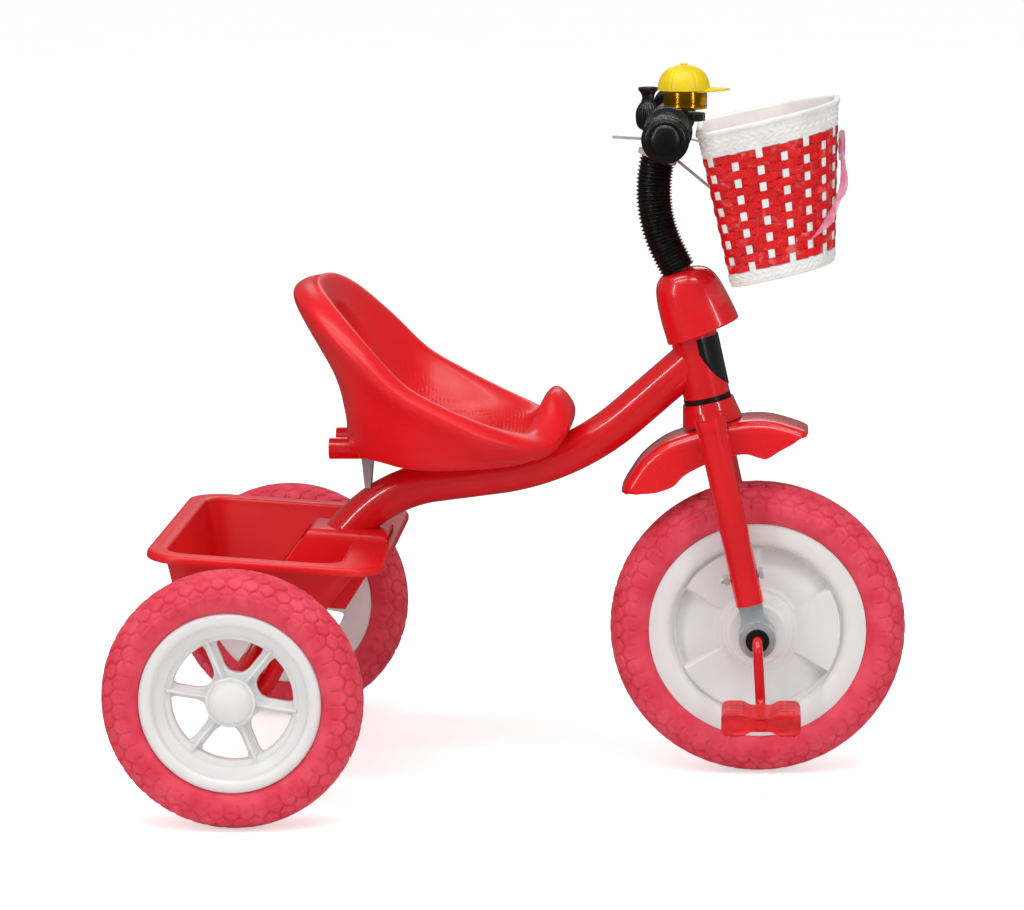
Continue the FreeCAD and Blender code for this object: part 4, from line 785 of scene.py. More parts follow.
def bucket_piece():
    """The bucket: level rounded loops from the middle of the inner floor up the wall, out over the rim, round
    its lip and back down outside to the middle of the outer floor. The tunnel for the main tube is a second
    closed shell."""
    def share(first, second, f):
        return tuple(np.array(first) + (np.array(second) - np.array(first)) * f)

    def inset(outline, by):
        return outline[0] + by, outline[1] - by, outline[2] - by

    middle = np.array([-15.0, 0.0])
    rows = []
    for size in (0.0, 0.5, 0.9, 0.965):
        rows.append((middle + (rounded_loop(*BUCKET_FLOOR, 18) - middle) * size, -57.0))
    for f, lift in ((0.035, -55.6), (0.10, -51.5), (0.30, -40.0), (0.60, -23.0), (0.90, -6.0), (0.97, -1.6)):
        rows.append((rounded_loop(*share(BUCKET_FLOOR, BUCKET_MOUTH, f), 18 + 4 * f), lift))
    rows.append((rounded_loop(*inset(BUCKET_MOUTH, -2.0), 24), -0.2))
    rows.append((rounded_loop(*inset(BUCKET_MOUTH, -5.6), 26), 0.1))
    for out, lift in ((8.0, 0.0), (4.0, 0.0), (1.6, -0.3), (0.5, -1.2), (0.0, -2.6), (-0.2, -5.4),
                      (0.0, -6.6), (0.8, -7.1), (2.2, -6.9), (2.8, -6.2), (3.2, -4.4), (5.0, -3.0)):
        rows.append((rounded_loop(*inset(BUCKET_RIM, out), 34 - 0.6 * out), lift))
    rows.append((rounded_loop(*inset(BUCKET_MOUTH_OUT, -2.0), 25), -3.0))
    for f in (0.94, 0.6, 0.3, 0.06):
        rows.append((rounded_loop(*share(BUCKET_FLOOR_OUT, BUCKET_MOUTH_OUT, f), 20 + 4 * f), -60 + 57 * f))
    for size in (0.985, 0.9, 0.5, 0.0):
        rows.append((middle + (rounded_loop(*BUCKET_FLOOR_OUT, 20) - middle) * size, -60.0))
    plan = np.array([row[0] for row in rows])
    height = np.array([row[1] for row in rows])[:, None] + 0 * plan[..., 0]
    where = np.linspace(0, len(rows) - 1, 3 * len(rows))
    outline = spline(np.concatenate([plan, height[..., None]], -1), where).transpose(1, 0, 2)
    shell = closed_grid(tilted_bucket(*np.moveaxis(outline, -1, 0)))
    return make_piece("bucket_shell", [shell, bucket_tunnel()], "frame", "red_plastic", ["bucket"], sharp=50)


TUNNEL_HALF, TUNNEL_TOP, TUNNEL_FOOT, TUNNEL_WALL = 30.0, 8.0, -60.0, 2.6


def bucket_tunnel():
    """The hood over the main tube: a rounded arch carried forward from its sloping back."""
    def arch(inset, radius):
        half, top = TUNNEL_HALF - inset, TUNNEL_TOP - inset
        return eased([(-half, TUNNEL_FOOT), (-half, top), (half, top), (half, TUNNEL_FOOT)], radius, 6)

    section = np.concatenate([arch(0.0, 9), arch(TUNNEL_WALL, 7)[::-1]])
    back = np.interp(section[:, 1], [TUNNEL_FOOT, TUNNEL_TOP], [-18, 26])
    ends = np.array([0.0, 0.012, 0.05, 0.3, 0.7, 0.95, 0.988, 1.0])
    draw = np.array([0.985, 0.996, 1.0, 1.0, 1.0, 1.0, 0.998, 0.99])
    front = 94 - 0.57 * (-3 - section[:, 1]).clip(0)
    x = back[:, None] + ends[None, :] * (front - back)[:, None]
    y = section[:, 0][:, None] * draw
    z = section[:, 1][:, None] + 0 * y - 120 * (1 - draw) * (section[:, 1][:, None] > 0)
    return grid(tilted_bucket(x, y, z), around=True)


# ---------------------------------------------------------------- steering pieces

FENDER_HALF, FENDER_SHOULDER, FENDER_END, FENDER_WALL = 31.0, 9.0, 8.0, 2.4
COVER_WALL = 1.7
FENDER_STATIONS = [(-88, 142.5, 57, 5), (-84.5, 147.5, 55, 15), (-78, 154.5, 49, 26), (-64.4, 166.6, 37, 34),
                   (-42.8, 176.8, 18, 32), (-20, 180.2, 4, 29), (2, 181.3, 0, 27), (23.7, 181.3, -5, 27),
                   (40, 179, -13, 31), (52.9, 174.8, -24, 31), (64, 169, -33, 22), (74.7, 162.6, -38, 9),
                   (78.5, 159.4, -41, 4)]


def fender_piece():
    """The mudguard: an arch with a crowned top and soft shoulders, carried along a smooth line over the
    wheel. Each station gives its place ahead and up, its slope in degrees and the depth of its sides; the
    arch narrows in a quarter circle over the last millimetres of each end."""
    last = len(FENDER_STATIONS) - 1
    where = last * (0.5 - 0.5 * np.cos(np.linspace(0, math.pi, 140)))
    stations = spline(FENDER_STATIONS, where)
    ahead, up, slope, depth = (stations[:, k][:, None] for k in range(4))
    slope = np.radians(slope)
    run = run_length(stations[:, :2])
    from_end = np.minimum(run, run[-1] - run)[:, None]
    narrow = FENDER_END * (1 - np.sqrt(1 - (1 - (from_end / FENDER_END).clip(0, 1)) ** 2))
    shoulder = np.linspace(0, math.pi / 2, 9)[1:]
    edge = FENDER_HALF - FENDER_SHOULDER * (1 - np.cos(shoulder))
    level = np.linspace(-1, 1, 14)[1:-1]
    side = np.full(8, FENDER_HALF)
    across = np.concatenate([-side, -edge, level * (FENDER_HALF - FENDER_SHOULDER), edge[::-1], side])
    fall = np.concatenate([np.linspace(1, 0, 8), np.zeros(28), np.linspace(0, 1, 8)])
    drop = FENDER_SHOULDER * (1 - np.sin(shoulder))
    low = np.full(8, -FENDER_SHOULDER)
    crown = np.concatenate([low, -drop, 0.9 * (1 - level ** 2), -drop[::-1], low])
    height = crown[None, :] * (depth / 12).clip(0, 1) - fall[None, :] * (depth - 9).clip(0.4)
    wide = (across[None, :] - height * 0.05 * np.sign(across[None, :])) * (1 - narrow / FENDER_HALF)
    points = on_steering(ahead - height * np.sin(slope), wide, up + height * np.cos(slope))
    piece = make_piece("mudguard", [grid(points)], "steering", "red_plastic", ["fender"],
                       look="polished_red_plastic")
    add_wall(piece, FENDER_WALL)


def add_wall(piece, thickness):
    """Gives an open surface a wall inwards."""
    wall = piece.modifiers.new("Wall", "SOLIDIFY")
    wall.thickness = thickness * MM
    wall.offset = -1.0
    wall.use_even_offset = True
    bevel = piece.modifiers.new("Soft edge", "BEVEL")
    bevel.width = 0.25 * thickness * MM
    bevel.segments = 2
    bevel.limit_method = "ANGLE"
    bevel.angle_limit = math.radians(60)


COVER_STATIONS = [(256, -23.0, 40.7, 28.5, 0.162), (264, -23.6, 39.4, 28.2, 0.15),
                  (275, -24.4, 37.2, 27.9, 0.12), (288, -24.6, 34.4, 27.1, 0.075),
                  (299, -23.9, 31.6, 25.9, 0.04), (306, -22.2, 28.8, 24.0, 0.02),
                  (311, -19.2, 25.4, 21.2, 0.01), (314.5, -14.8, 21.2, 17.0, 0.0),
                  (316.6, -7.0, 13.6, 9.6, 0.0), (317.4, 3.2, 3.6, 0.0, 0.0)]


def cover_piece():
    """The bell-shaped cover on the head tube: ovals a little squarer than ellipses, from its open foot to the
    closed top. Each station gives its height at the back, its back, its front, its half width, and its rise
    to the front."""
    stations = spline(COVER_STATIONS, np.concatenate([np.linspace(0, 4, 15)[:-1], np.linspace(4, 9, 36)]))
    up, back, front, half, rise = (stations[:, k][None, :] for k in range(5))
    angle = turns(144)
    across = np.sign(np.sin(angle)) * np.abs(np.sin(angle)) ** 0.86
    along = np.sign(np.cos(angle)) * np.abs(np.cos(angle)) ** 0.86
    ahead = (back + front) / 2 + ((front - back) / 2).clip(0) * along
    points = on_steering(ahead, half.clip(0) * across, up + rise * (ahead - back))
    points[:, -1] = points[0, -1]
    piece = make_piece("steering_hood", [grid(points, around=True, poles=(False, True))], "steering",
                       "red_plastic", ["steering_cover"], look="polished_red_plastic")
    add_wall(piece, COVER_WALL)


STEM_KNEE = np.array([0.0, 313.0])
BAR_CENTRE = node_middle("stem_clamp")


def steering_of(point):
    """A row-frame point in the steering's frame, as millimetres ahead and up."""
    gap = (np.asarray(point) - STEERING_FOOT) / MM
    return np.array([gap @ STEERING_AHEAD, gap @ STEERING_UP])


def bent_line(start, corner, end, radius, count):
    """A straight run, a tangent arc and a straight run, read at even distances, in a plane."""
    back, onward = unit(start - corner), unit(end - corner)
    half = math.acos(float(back @ onward)) / 2
    reach = radius / math.tan(half)
    centre = corner + unit(back + onward) * radius / math.sin(half)
    first, last = corner + back * reach, corner + onward * reach
    f = np.linspace(0, 1, 40)[:, None]
    arc = centre + unit((1 - f) * (first - centre) + f * (last - centre)) * radius
    return at_shares(np.concatenate([[start], arc, [end]]), np.linspace(0, 1, count))


# Where the stem's two straight runs would meet.
STEM_CORNER = steering_of(from_rear_axle(331.0, 0.0, 496.5))
STEM_BEND = 115.0
SLEEVE_GROOVE, SLEEVE_RING = 13.2, 2.2
RING_STEPS = 8


def bellows_piece(rings):
    """The ribbed sleeve: a line along the stem, with a radius that climbs and falls like a saw once a
    ring."""
    bar = steering_of(BAR_CENTRE)
    start = STEM_KNEE + unit(STEM_CORNER - STEM_KNEE) * 3.0
    end = bar + unit(STEM_CORNER - bar) * 14.0
    count = rings * RING_STEPS + 1
    line = bent_line(start, STEM_CORNER, end, STEM_BEND, count)
    along = unit(np.gradient(line, axis=0))
    normal = np.stack([along[:, 1], -along[:, 0]], -1)
    phase = np.mod(np.arange(count) / RING_STEPS, 1)
    saw = (1 - np.abs(2 * phase - 1)) ** 1.25
    radius = SLEEVE_GROOVE + SLEEVE_RING * saw
    radius[[0, -1]] = 12.0
    angle = turns(72)
    ahead = line[None, :, 0] + radius * np.cos(angle) * normal[None, :, 0]
    up = line[None, :, 1] + radius * np.cos(angle) * normal[None, :, 1]
    outer = on_steering(ahead, radius * np.sin(angle), up)
    first, last = (np.repeat(on_steering(line[k, 0], 0.0, line[k, 1])[None, None], 72, 0) for k in (0, -1))
    closed = np.concatenate([first, outer, last], 1)
    return make_piece("stem_sleeve", [closed_grid(closed)], "steering", "black_rubber", ["stem_bellows"])


def grip_piece(name, side):
    """A rubber grip turned about the bar: a flange, fine rings along the hand, and a stepped end with a
    dome."""
    low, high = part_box("grip_" + name)
    inner, outer = sorted((abs(low[1]), abs(high[1])))
    inner, outer = inner / MM, outer / MM
    rings = [(14.9 + 0.7 * (k % 2), inner + 7 + 2.1 * k) for k in range(34)]
    corners = [(11.2, inner), (20, inner), (20.5, inner + 0.8), (20.5, inner + 3.6), (19.6, inner + 4.4),
               (15.4, inner + 5.6)] + rings
    corners += [(16.4, outer - 16.5), (18.6, outer - 14.5), (19.4, outer - 13), (19.4, outer - 9.6),
                (18.2, outer - 8.6), (18.2, outer - 7.0), (17.0, outer - 6.4), (16.6, outer - 5.0),
                (15.2, outer - 4.6), (14.8, outer - 3.6), (13.2, outer - 3.4)]
    body = eased(corners, 0.35, 3)
    dome = [(12.6 * math.cos(a), outer - 3.6 + 3.6 * math.sin(a)) for a in np.linspace(0, math.pi / 2, 14)]
    dome[-1] = (0.0, outer)
    profile = np.concatenate([[(0.0, inner)], body, dome])
    centre = BAR_CENTRE * (AHEAD + UP)
    return make_piece("grip_rubber_" + name, [lathe(profile, centre, side * LEFT, 84)], "steering",
                      "black_rubber", ["grip_" + name], sharp=45)


def bell_dome_piece():
    """The bell's dome: a tall side with a rolled foot and a rounded top, turned about its post."""
    outside = eased([(2.6, 17.5), (15.6, 17.5), (18, 15.0), (18, 3.2), (18.3, 1.8), (17.8, 0), (16.6, 0),
                     (16.2, 1.2), (16.8, 2.2), (16.8, 14.4), (15.2, 16.3), (2.6, 16.3)], 1.4, 4, closed=True)
    return make_piece("bell_cup", [lathe(outside, node_foot("bell_dome"), closed=True)], "steering",
                      "gold_chrome", ["bell_dome"], sharp=60)


CAP_SHIFT = 1.2
BRIM_ROOT = 18.2


def bell_cap_piece():
    """The cap on the bell: a crown of six panels, whose radius dips at each seam, with a button on top, and a
    curved brim that droops at its sides."""
    centre = np.array([*node_middle("bell_dome")[:2], node_foot("bell_cap")[2]]) - CAP_SHIFT * MM * AHEAD
    height = node_size("bell_cap")[2] / MM
    rise = np.linspace(0, math.pi / 2, 30)
    button = [(0, height), (2.4, height - 0.1), (3.0, height - 0.8), (3.1, height - 1.5)]
    crown_top = height - 1.4
    crown = [(21.7 * math.cos(a) ** 0.82, crown_top * math.sin(a) ** 0.92) for a in rise[::-1]][2:]
    profile = np.array(button + crown + [(21.4, -0.1), (19.6, -0.1), (19.4, 1.9), (9, 1.9), (0, 1.9)], float)
    angle = turns(144)
    seam = np.abs(np.mod(angle / (TURN / 6) + 0.5, 1) - 0.5) * TURN / 6
    radius, up = profile[None, :, 0], profile[None, :, 1]
    dip = 0.45 * np.exp(-(seam * radius / 0.55) ** 2) * (radius > 3.2) * (up > 0)
    crown_part = closed_grid(turned_points(radius - dip, angle, up, centre))
    spread = np.linspace(-1, 1, 41)[:, None]
    inner_angle = spread * math.radians(58)
    section = eased([(0, 0.2), (0, 2.4), (1, 2.2), (1, 0.6)], 0.05, 3, closed=True)
    reach = (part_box("bell_cap")[1][0] - centre[0]) / MM
    tip = reach * np.cos(spread * math.pi / 2).clip(0.0) ** 0.42
    f, lift = section[None, :, 0], section[None, :, 1]
    inner_x, inner_y = BRIM_ROOT * np.cos(inner_angle), BRIM_ROOT * np.sin(inner_angle)
    outer_x = inner_x + (tip - BRIM_ROOT).clip(0) * np.abs(np.cos(spread * math.pi / 2)) ** 0.2
    outer_y = inner_y * (1 + 0.12 * np.abs(np.cos(spread * math.pi / 2)))
    x = inner_x + f * (outer_x - inner_x)
    y = inner_y + f * (outer_y - inner_y)
    z = lift - 0.9 * f - 0.006 * y ** 2
    brim_points = centre + MM * np.stack([x, y, z + 0 * x], -1)
    ends = np.repeat(brim_points.mean(1, keepdims=True), brim_points.shape[1], 1)
    brim_points = np.concatenate([ends[:1], brim_points, ends[-1:]])
    brim = closed_grid(brim_points.transpose(1, 0, 2))
    return make_piece("bell_cap_moulding", [crown_part, brim], "steering", "yellow_plastic", ["bell_cap"],
                      sharp=50)


def fluted(profile, foot, flutes, depth, start, full):
    """A profile turned about an upright axis, with flutes round it: radius + depth cos(flutes angle), fading
    in from a radius of start to one of full."""
    radius, up = profile.T[:, None, :]
    angle = turns(120)
    flute = depth * np.cos(flutes * angle) * smoothstep(start, full, radius)
    return closed_grid(turned_points(radius + flute, angle, up, foot))


def horn_pieces():
    """The horn: a fluted rubber bulb and a flared mouth with a knurled lip, turned about their upright
    axis."""
    foot = node_foot("horn_bulb")
    bulb = spline([(0, 0), (3.6, 0.3), (7.6, 2.4), (9.9, 6.6), (10.5, 12.0), (10.1, 17.5), (8.2, 22.0),
                   (6.2, 25.0), (5.6, 27.5)], np.linspace(0, 8, 44))
    bulb = np.concatenate([[(0, 0)], bulb[1:], [(0, 27.5)]])
    make_piece("horn_bulb_rubber", [fluted(bulb, foot, 20, 0.35, 5, 9)], "steering", "black_rubber",
               ["horn_bulb"])
    mouth = eased([(5.0, 0), (5.4, 2.6), (6.2, 5.0), (7.9, 7.4), (8.3, 8.4), (8.3, 9.9), (7.8, 10.5),
                   (7.0, 10.2), (5.6, 6.4)], 0.5, 3)
    mouth = np.concatenate([[(0, 0)], mouth, [(0, 5.6)]])
    foot = np.array([*foot[:2], node_foot("horn_trumpet")[2]])
    make_piece("horn_mouth", [fluted(mouth, foot, 36, 0.22, 7.6, 8.2)], "steering", "black_plastic",
               ["horn_trumpet"], sharp=50)


# ---------------------------------------------------------------- basket

BASKET_FOOT, BASKET_TOP = 298.0, 431.5
BASKET_BACK = 41.5
FOOT_FRONT, TOP_FRONT = 130.5, 161.3
FOOT_HALF, TOP_HALF = 62.0, 80.0
BASKET_ROUND = 430.0  # the way round it, for its patterns
BASKET_MIDDLE = np.array([92.0, 0.0])
WEAVE_FOOT, WEAVE_TOP = 310.0, 409.0


def basket_loop(front, half, share):
    """A flat back with small corners and a deep round front, read at shares of its length from the middle of
    the back."""
    small, large = 16.0, half - 12.0
    corners = [(BASKET_BACK + small, half - small, small, 180, 90),
               (front - large, half - large, large, 90, 0), (front - large, large - half, large, 0, -90),
               (BASKET_BACK + small, small - half, small, -90, -180)]
    line = [np.array([[BASKET_BACK, 0.0]])]
    for x, y, radius, start, end in corners:
        angle = np.radians(np.linspace(start, end, 30))
        line.append(np.stack([x + radius * np.cos(angle), y + radius * np.sin(angle)], -1))
    return at_shares(np.concatenate(line + line[:1]), np.mod(share, 1))


def basket_rise(up):
    """A height on the basket as a share of the way from its foot to its top."""
    return (up - BASKET_FOOT) / (BASKET_TOP - BASKET_FOOT)


def basket_place(share, up, out, size=1.0):
    """A place on the basket: between the foot's and the top's loops by height, moved out along the loop's
    normal, and drawn in towards the middle by a size."""
    share, up, out, size = np.broadcast_arrays(share, up, out, size)
    rise = basket_rise(up)[..., None]

    def loop(at):
        foot = basket_loop(FOOT_FRONT, FOOT_HALF, at)
        top = basket_loop(TOP_FRONT, TOP_HALF, at)
        return foot + rise * (top - foot)

    here = loop(share)
    along = unit(loop(share + 0.002) - loop(share - 0.002))
    normal = np.stack([-along[..., 1], along[..., 0]], -1)
    normal = normal * np.sign(((here - BASKET_MIDDLE) * normal).sum(-1, keepdims=True))
    flat = here + normal * out[..., None]
    flat = BASKET_MIDDLE + (flat - BASKET_MIDDLE) * size[..., None]
    return on_steering(flat[..., 0], flat[..., 1], up)


BRAID_ROW, STRAND_PITCH, BRAID_RELIEF = 4.1, 7.0, 1.1


def braid(along, up, height):
    """Rows of slanting strands that lean one way and then the other: a ridge along each strand, thin at the
    row's edges."""
    row = np.floor(up / height)
    within = up / height - row
    phase = along / STRAND_PITCH + np.where(row % 2 == 0, 1.0, -1.0) * within * 0.75
    return (0.5 + 0.5 * np.cos(TURN * phase)) * np.sin(math.pi * within) ** 0.7


def basket_body_piece():
    """The basket's white moulding: a closed outline of (out, up, size) carried round its loop, with a braided
    relief on the bands above and below the weave."""
    foot, top = BASKET_FOOT, BASKET_TOP
    rows = [(0, foot, 0.0, 0), (0, foot, 0.5, 0), (0, foot, 0.93, 0), (-1.2, foot, 1, 0),
            (-0.1, foot + 0.7, 1, 0), (0.2, foot + 1.9, 1, 0)]
    rows += [(0.2, up, 1, 1) for up in np.linspace(foot + 2.6, WEAVE_FOOT - 1.4, 16)]
    rows += [(0.1, WEAVE_FOOT - 0.8, 1, 0), (-0.7, WEAVE_FOOT - 0.4, 1, 0), (-1.9, WEAVE_FOOT - 0.2, 1, 0),
             (-1.9, WEAVE_TOP + 0.2, 1, 0), (-0.7, WEAVE_TOP + 0.4, 1, 0), (0.1, WEAVE_TOP + 0.8, 1, 0)]
    rows += [(0.2, up, 1, 1) for up in np.linspace(WEAVE_TOP + 1.6, top - 5.1, 26)]
    rows += [(0.3, top - 4.5, 1, 0), (1.4, top - 3.9, 1, 0), (1.9, top - 2.9, 1, 0), (1.9, top - 1.3, 1, 0),
             (1.2, top - 0.2, 1, 0), (0.0, top, 1, 0), (-2.4, top - 0.2, 1, 0), (-3.4, top - 0.9, 1, 0)]
    rows += [(-3.6, up, 1, 0) for up in (top - 2.5, WEAVE_TOP, 380.0, 345.0, WEAVE_FOOT, foot + 5)]
    rows += [(-4.4, foot + 3.5, 1, 0), (-6.5, foot + 3, 1, 0), (-6.5, foot + 3, 0.6, 0),
             (-6.5, foot + 3, 0.0, 0)]
    out, up, size, textured = (np.array(rows)[:, k][None, :] for k in range(4))
    share = np.arange(420)[:, None] / 420
    relief = textured * BRAID_RELIEF * (braid(share * BASKET_ROUND, up - foot - 2.6, BRAID_ROW) - 0.4)
    # The mask marks the inner wall behind the weave. There the basket's finish paints a pink glow that stands in
    # for light through the red weave.
    inner = (out < -3.5) & (up > WEAVE_FOOT + 1) & (up < WEAVE_TOP + 0.1)
    points = basket_place(share, up, out + relief, size)
    mask = inner.astype(float) + 0 * share
    return make_piece("basket_moulding", [closed_grid(points, mask=mask)], "steering", "white_basket_plastic",
                      ["basket_body"], sharp=60)


# Outlines of a ribbon, as (millimetres out, share of its row), and of a slat, as (half widths, millimetres
# out).
RIBBON_SECTION = [(-0.25, 0.02), (0.05, 0.3), (0.12, 0.5), (0.05, 0.7), (-0.25, 0.98), (-0.6, 0.9),
                  (-0.5, 0.5), (-0.6, 0.1)]
SLAT_SECTION = [(-1, -0.75), (-1, 0.0), (-0.86, 0.18), (0.86, 0.18), (1, 0.0), (1, -0.75)]


def basket_weave_pieces(sizes):
    """The weave: upright white slats, and level red ribbons that pass in front of one slat and behind the
    next. A ribbon's distance out is a steep wave round the basket, and the next ribbon's wave is its
    opposite."""
    columns, rows = sizes.basket_columns, sizes.basket_rows
    pitch = (WEAVE_TOP - WEAVE_FOOT) / rows
    ribbon_out, ribbon_up = np.array(RIBBON_SECTION).T[:, None, :]
    rng = np.random.default_rng(7)
    share = (np.arange(columns * 16) / (columns * 16))[:, None]
    parts = []
    for row in range(rows):
        wave = np.clip(1.7 * np.sin(math.pi * columns * share + math.pi * row), -1, 1)
        wander = 0.16 * np.sin(TURN * (share * rng.integers(5, 11) + rng.random()))
        sag = 0.22 * np.sin(TURN * (share * rng.integers(9, 19) + rng.random()))
        out = ribbon_out + 0.75 * wave - 0.15 + wander
        up = WEAVE_FOOT + pitch * (row + ribbon_up * 1.04 - 0.02) + sag * (ribbon_up - 0.5)
        parts.append(grid(basket_place(share, up, out), around=True, across=True))
    make_piece("basket_ribbon_weave", parts, "steering", "red_ribbon_weave", ["basket_weave"], sharp=50)
    slats = []
    half = sizes.slat_width / MM / BASKET_ROUND / 2
    slat_across, slat_out = np.array(SLAT_SECTION).T[:, :, None]
    up = np.linspace(WEAVE_FOOT - 1.5, WEAVE_TOP + 1.5, 26)[None, :]
    width = half * (1.13 - 0.22 * basket_rise(up))
    for column in range(columns):
        points = basket_place((column + 0.5) / columns + slat_across * width, up, slat_out)
        ends = np.repeat(points.mean(0)[None], len(points), 0)
        slats.append(closed_grid(np.concatenate([ends[:, :1], points, ends[:, -1:]], 1)))
    make_piece("basket_slats", slats, "steering", "white_basket_plastic", sharp=40)


def basket_front(left, up):
    """How far ahead the basket's front is at a place to the left and up: flat in the middle, then a circle's
    arc."""
    rise = basket_rise(up)
    radius = FOOT_HALF - 12 + rise * (TOP_HALF - FOOT_HALF)
    front = FOOT_FRONT + rise * (TOP_FRONT - FOOT_FRONT)
    past = (np.abs(left) - 12).clip(0)
    return front - radius + np.sqrt((radius ** 2 - past ** 2).clip(0))


KNOT_LEFT, KNOT_UP = -4.0, 391.0
BOW_REACH = 19.0
# Each tail of the bow, as how far left and how far down it goes.
BOW_TAILS = [(-49.0, 61.0), (-19.0, 40.0)]


def bow_piece():
    """The bow on the basket's front: a strip of ribbon that runs in a figure of eight, whose width shrinks at
    the knot, a long tail and a short one that hang from it to the right, and the knot's own turn."""
    angle = turns(96)
    width = np.linspace(-1, 1, 9)[None, :]
    half = 2.8 + 6.6 * np.abs(np.sin(angle)) ** 0.8
    up = KNOT_UP + width * half + 1.6 * np.sin(angle) * np.abs(np.sin(angle))
    left = KNOT_LEFT + BOW_REACH * np.sin(angle) + 0 * width
    fold = 0.7 * np.cos(3 * math.pi * width) * (1 - np.abs(np.sin(angle)))
    ahead = basket_front(left, up) + 4.4 + 5.4 * np.sin(angle) * np.cos(angle) + fold
    parts = [grid(on_steering(ahead, left, up), around=True)]
    fall = np.linspace(0, 1, 48)[:, None]
    for reach, drop in BOW_TAILS:
        half = 2.8 + 4.6 * smoothstep(0, 0.3, fall)
        turned = 0.35 * smoothstep(0.05, 0.4, fall)
        lean = math.atan2(-reach, drop)
        left = KNOT_LEFT + reach * fall + width * half * math.cos(lean) * np.cos(turned)
        up = KNOT_UP - 2 - drop * fall + width * half * math.sin(lean)
        ripple = 1.2 * np.sin(7.5 * fall - reach / 9) * fall + 0.7 * np.cos(2.4 * width + 5 * fall)
        ahead = basket_front(left, up) + 3.4 + ripple + (1 + width) * half * np.sin(turned)
        parts.append(grid(on_steering(ahead, left, up)))
    turn = turns(24)
    ahead = basket_front(KNOT_LEFT, KNOT_UP) + 4.6 + 4.0 * np.cos(turn) + 0 * width
    left = KNOT_LEFT + 3.4 * width * (1 - 0.25 * np.cos(turn) ** 2)
    parts.append(grid(on_steering(ahead, left, KNOT_UP + 4.6 * np.sin(turn) + 0 * width), around=True))
    return make_piece("basket_bow", parts, "steering", "pink_ribbon", ["basket_ribbon"])


# ---------------------------------------------------------------- operators

def settings_of(context):
    """The user's settings on the scene."""
    return context.scene.tricycle


class TRICYCLE_OT_finishes(bpy.types.Operator):
    """Makes the finishes and puts them on the frame's steel and small parts"""
    bl_idname = "tricycle.finishes"
    bl_label = "Finishes"

    def execute(self, context):
        MATERIALS.update(make_materials(settings_of(context)))
        slots = {part["node"]: part["material_slot"] for part in frame["record"]["subparts"]}
        for name, piece in frame["nodes"].items():
            paint(piece, slots[name])
        return {"FINISHED"}


class TRICYCLE_OT_tyres(bpy.types.Operator):
    """Adds the three foam tyres"""
    bl_idname = "tricycle.tyres"
    bl_label = "Tyres"

    def execute(self, context):
        sizes = settings_of(context).sizes
        for name in SIDES:
            tyre("rear_tyre_" + name, REAR_RIM_RADIUS, sizes.rear_lugs, sizes, 680)
        tyre("front_tyre", FRONT_RIM_RADIUS, sizes.front_lugs, sizes, 800)
        return {"FINISHED"}


class TRICYCLE_OT_wheels(bpy.types.Operator):
    """Adds the moulded wheels and their hub caps"""
    bl_idname = "tricycle.wheels"
    bl_label = "Wheels"

    def execute(self, context):
        for name, side in SIDES.items():
            rear_wheel_moulding(name, side)
            hub_cap(name, side)
        front_wheel_piece()
        return {"FINISHED"}


class TRICYCLE_OT_pedals(bpy.types.Operator):
    """Adds the two block pedals"""
    bl_idname = "tricycle.pedals"
    bl_label = "Pedals"

    def execute(self, context):
        for name, side in SIDES.items():
            pedal(name, side)
        return {"FINISHED"}


class TRICYCLE_OT_seat(bpy.types.Operator):
    """Adds the scoop seat"""
    bl_idname = "tricycle.seat"
    bl_label = "Seat"

    def execute(self, context):
        seat_piece()
        return {"FINISHED"}


class TRICYCLE_OT_bucket(bpy.types.Operator):
    """Adds the bucket"""
    bl_idname = "tricycle.bucket"
    bl_label = "Bucket"

    def execute(self, context):
        bucket_piece()
        return {"FINISHED"}


class TRICYCLE_OT_mudguard(bpy.types.Operator):
    """Adds the mudguard and the cover on the head tube"""
    bl_idname = "tricycle.mudguard"
    bl_label = "Mudguard and cover"

    def execute(self, context):
        fender_piece()
        cover_piece()
        return {"FINISHED"}


class TRICYCLE_OT_handlebar(bpy.types.Operator):
    """Adds the ribbed sleeve on the stem and the two grips"""
    bl_idname = "tricycle.handlebar"
    bl_label = "Sleeve and grips"

    def execute(self, context):
        bellows_piece(settings_of(context).sizes.bellows_rings)
        for name, side in SIDES.items():
            grip_piece(name, side)
        return {"FINISHED"}


class TRICYCLE_OT_bell_and_horn(bpy.types.Operator):
    """Adds the bell's dome and cap, and the squeeze horn"""
    bl_idname = "tricycle.bell_and_horn"
    bl_label = "Bell and horn"

    def execute(self, context):
        bell_dome_piece()
        bell_cap_piece()
        horn_pieces()
        return {"FINISHED"}


class TRICYCLE_OT_basket(bpy.types.Operator):
    """Adds the basket, its weave and its bow"""
    bl_idname = "tricycle.basket"
    bl_label = "Basket"

    def execute(self, context):
        basket_body_piece()
        basket_weave_pieces(settings_of(context).sizes)
        bow = bow_piece()
        return {"FINISHED"}


CAMERA_PLACE = (0.197, -3.1076, 0.8076)
CAMERA_YAW, CAMERA_PITCH, CAMERA_ROLL = (math.radians(a) for a in (-3.73, 9.68, -0.61))
CAMERA_LENS, SENSOR = 129.1, 36.0
# Each softbox as its name, place, width and height in metres, and power.
SOFTBOXES = [("Left softbox", (-1.9, -2.3, 1.35), (0.14, 1.8), 15.0),
             ("Right softbox", (2.1, -2.2, 1.35), (0.14, 1.8), 13.0),
             ("Top strip", (0.0, -0.35, 2.6), (2.6, 0.08), 15.0),
             ("Front strip", (0.0, -1.3, 2.3), (2.6, 0.07), 18.0),
             ("Back softbox", (0.2, 2.6, 1.6), (1.8, 0.8), 8.0)]
SOFTBOX_AIM = Vector((0.0, 0.0, 0.25))


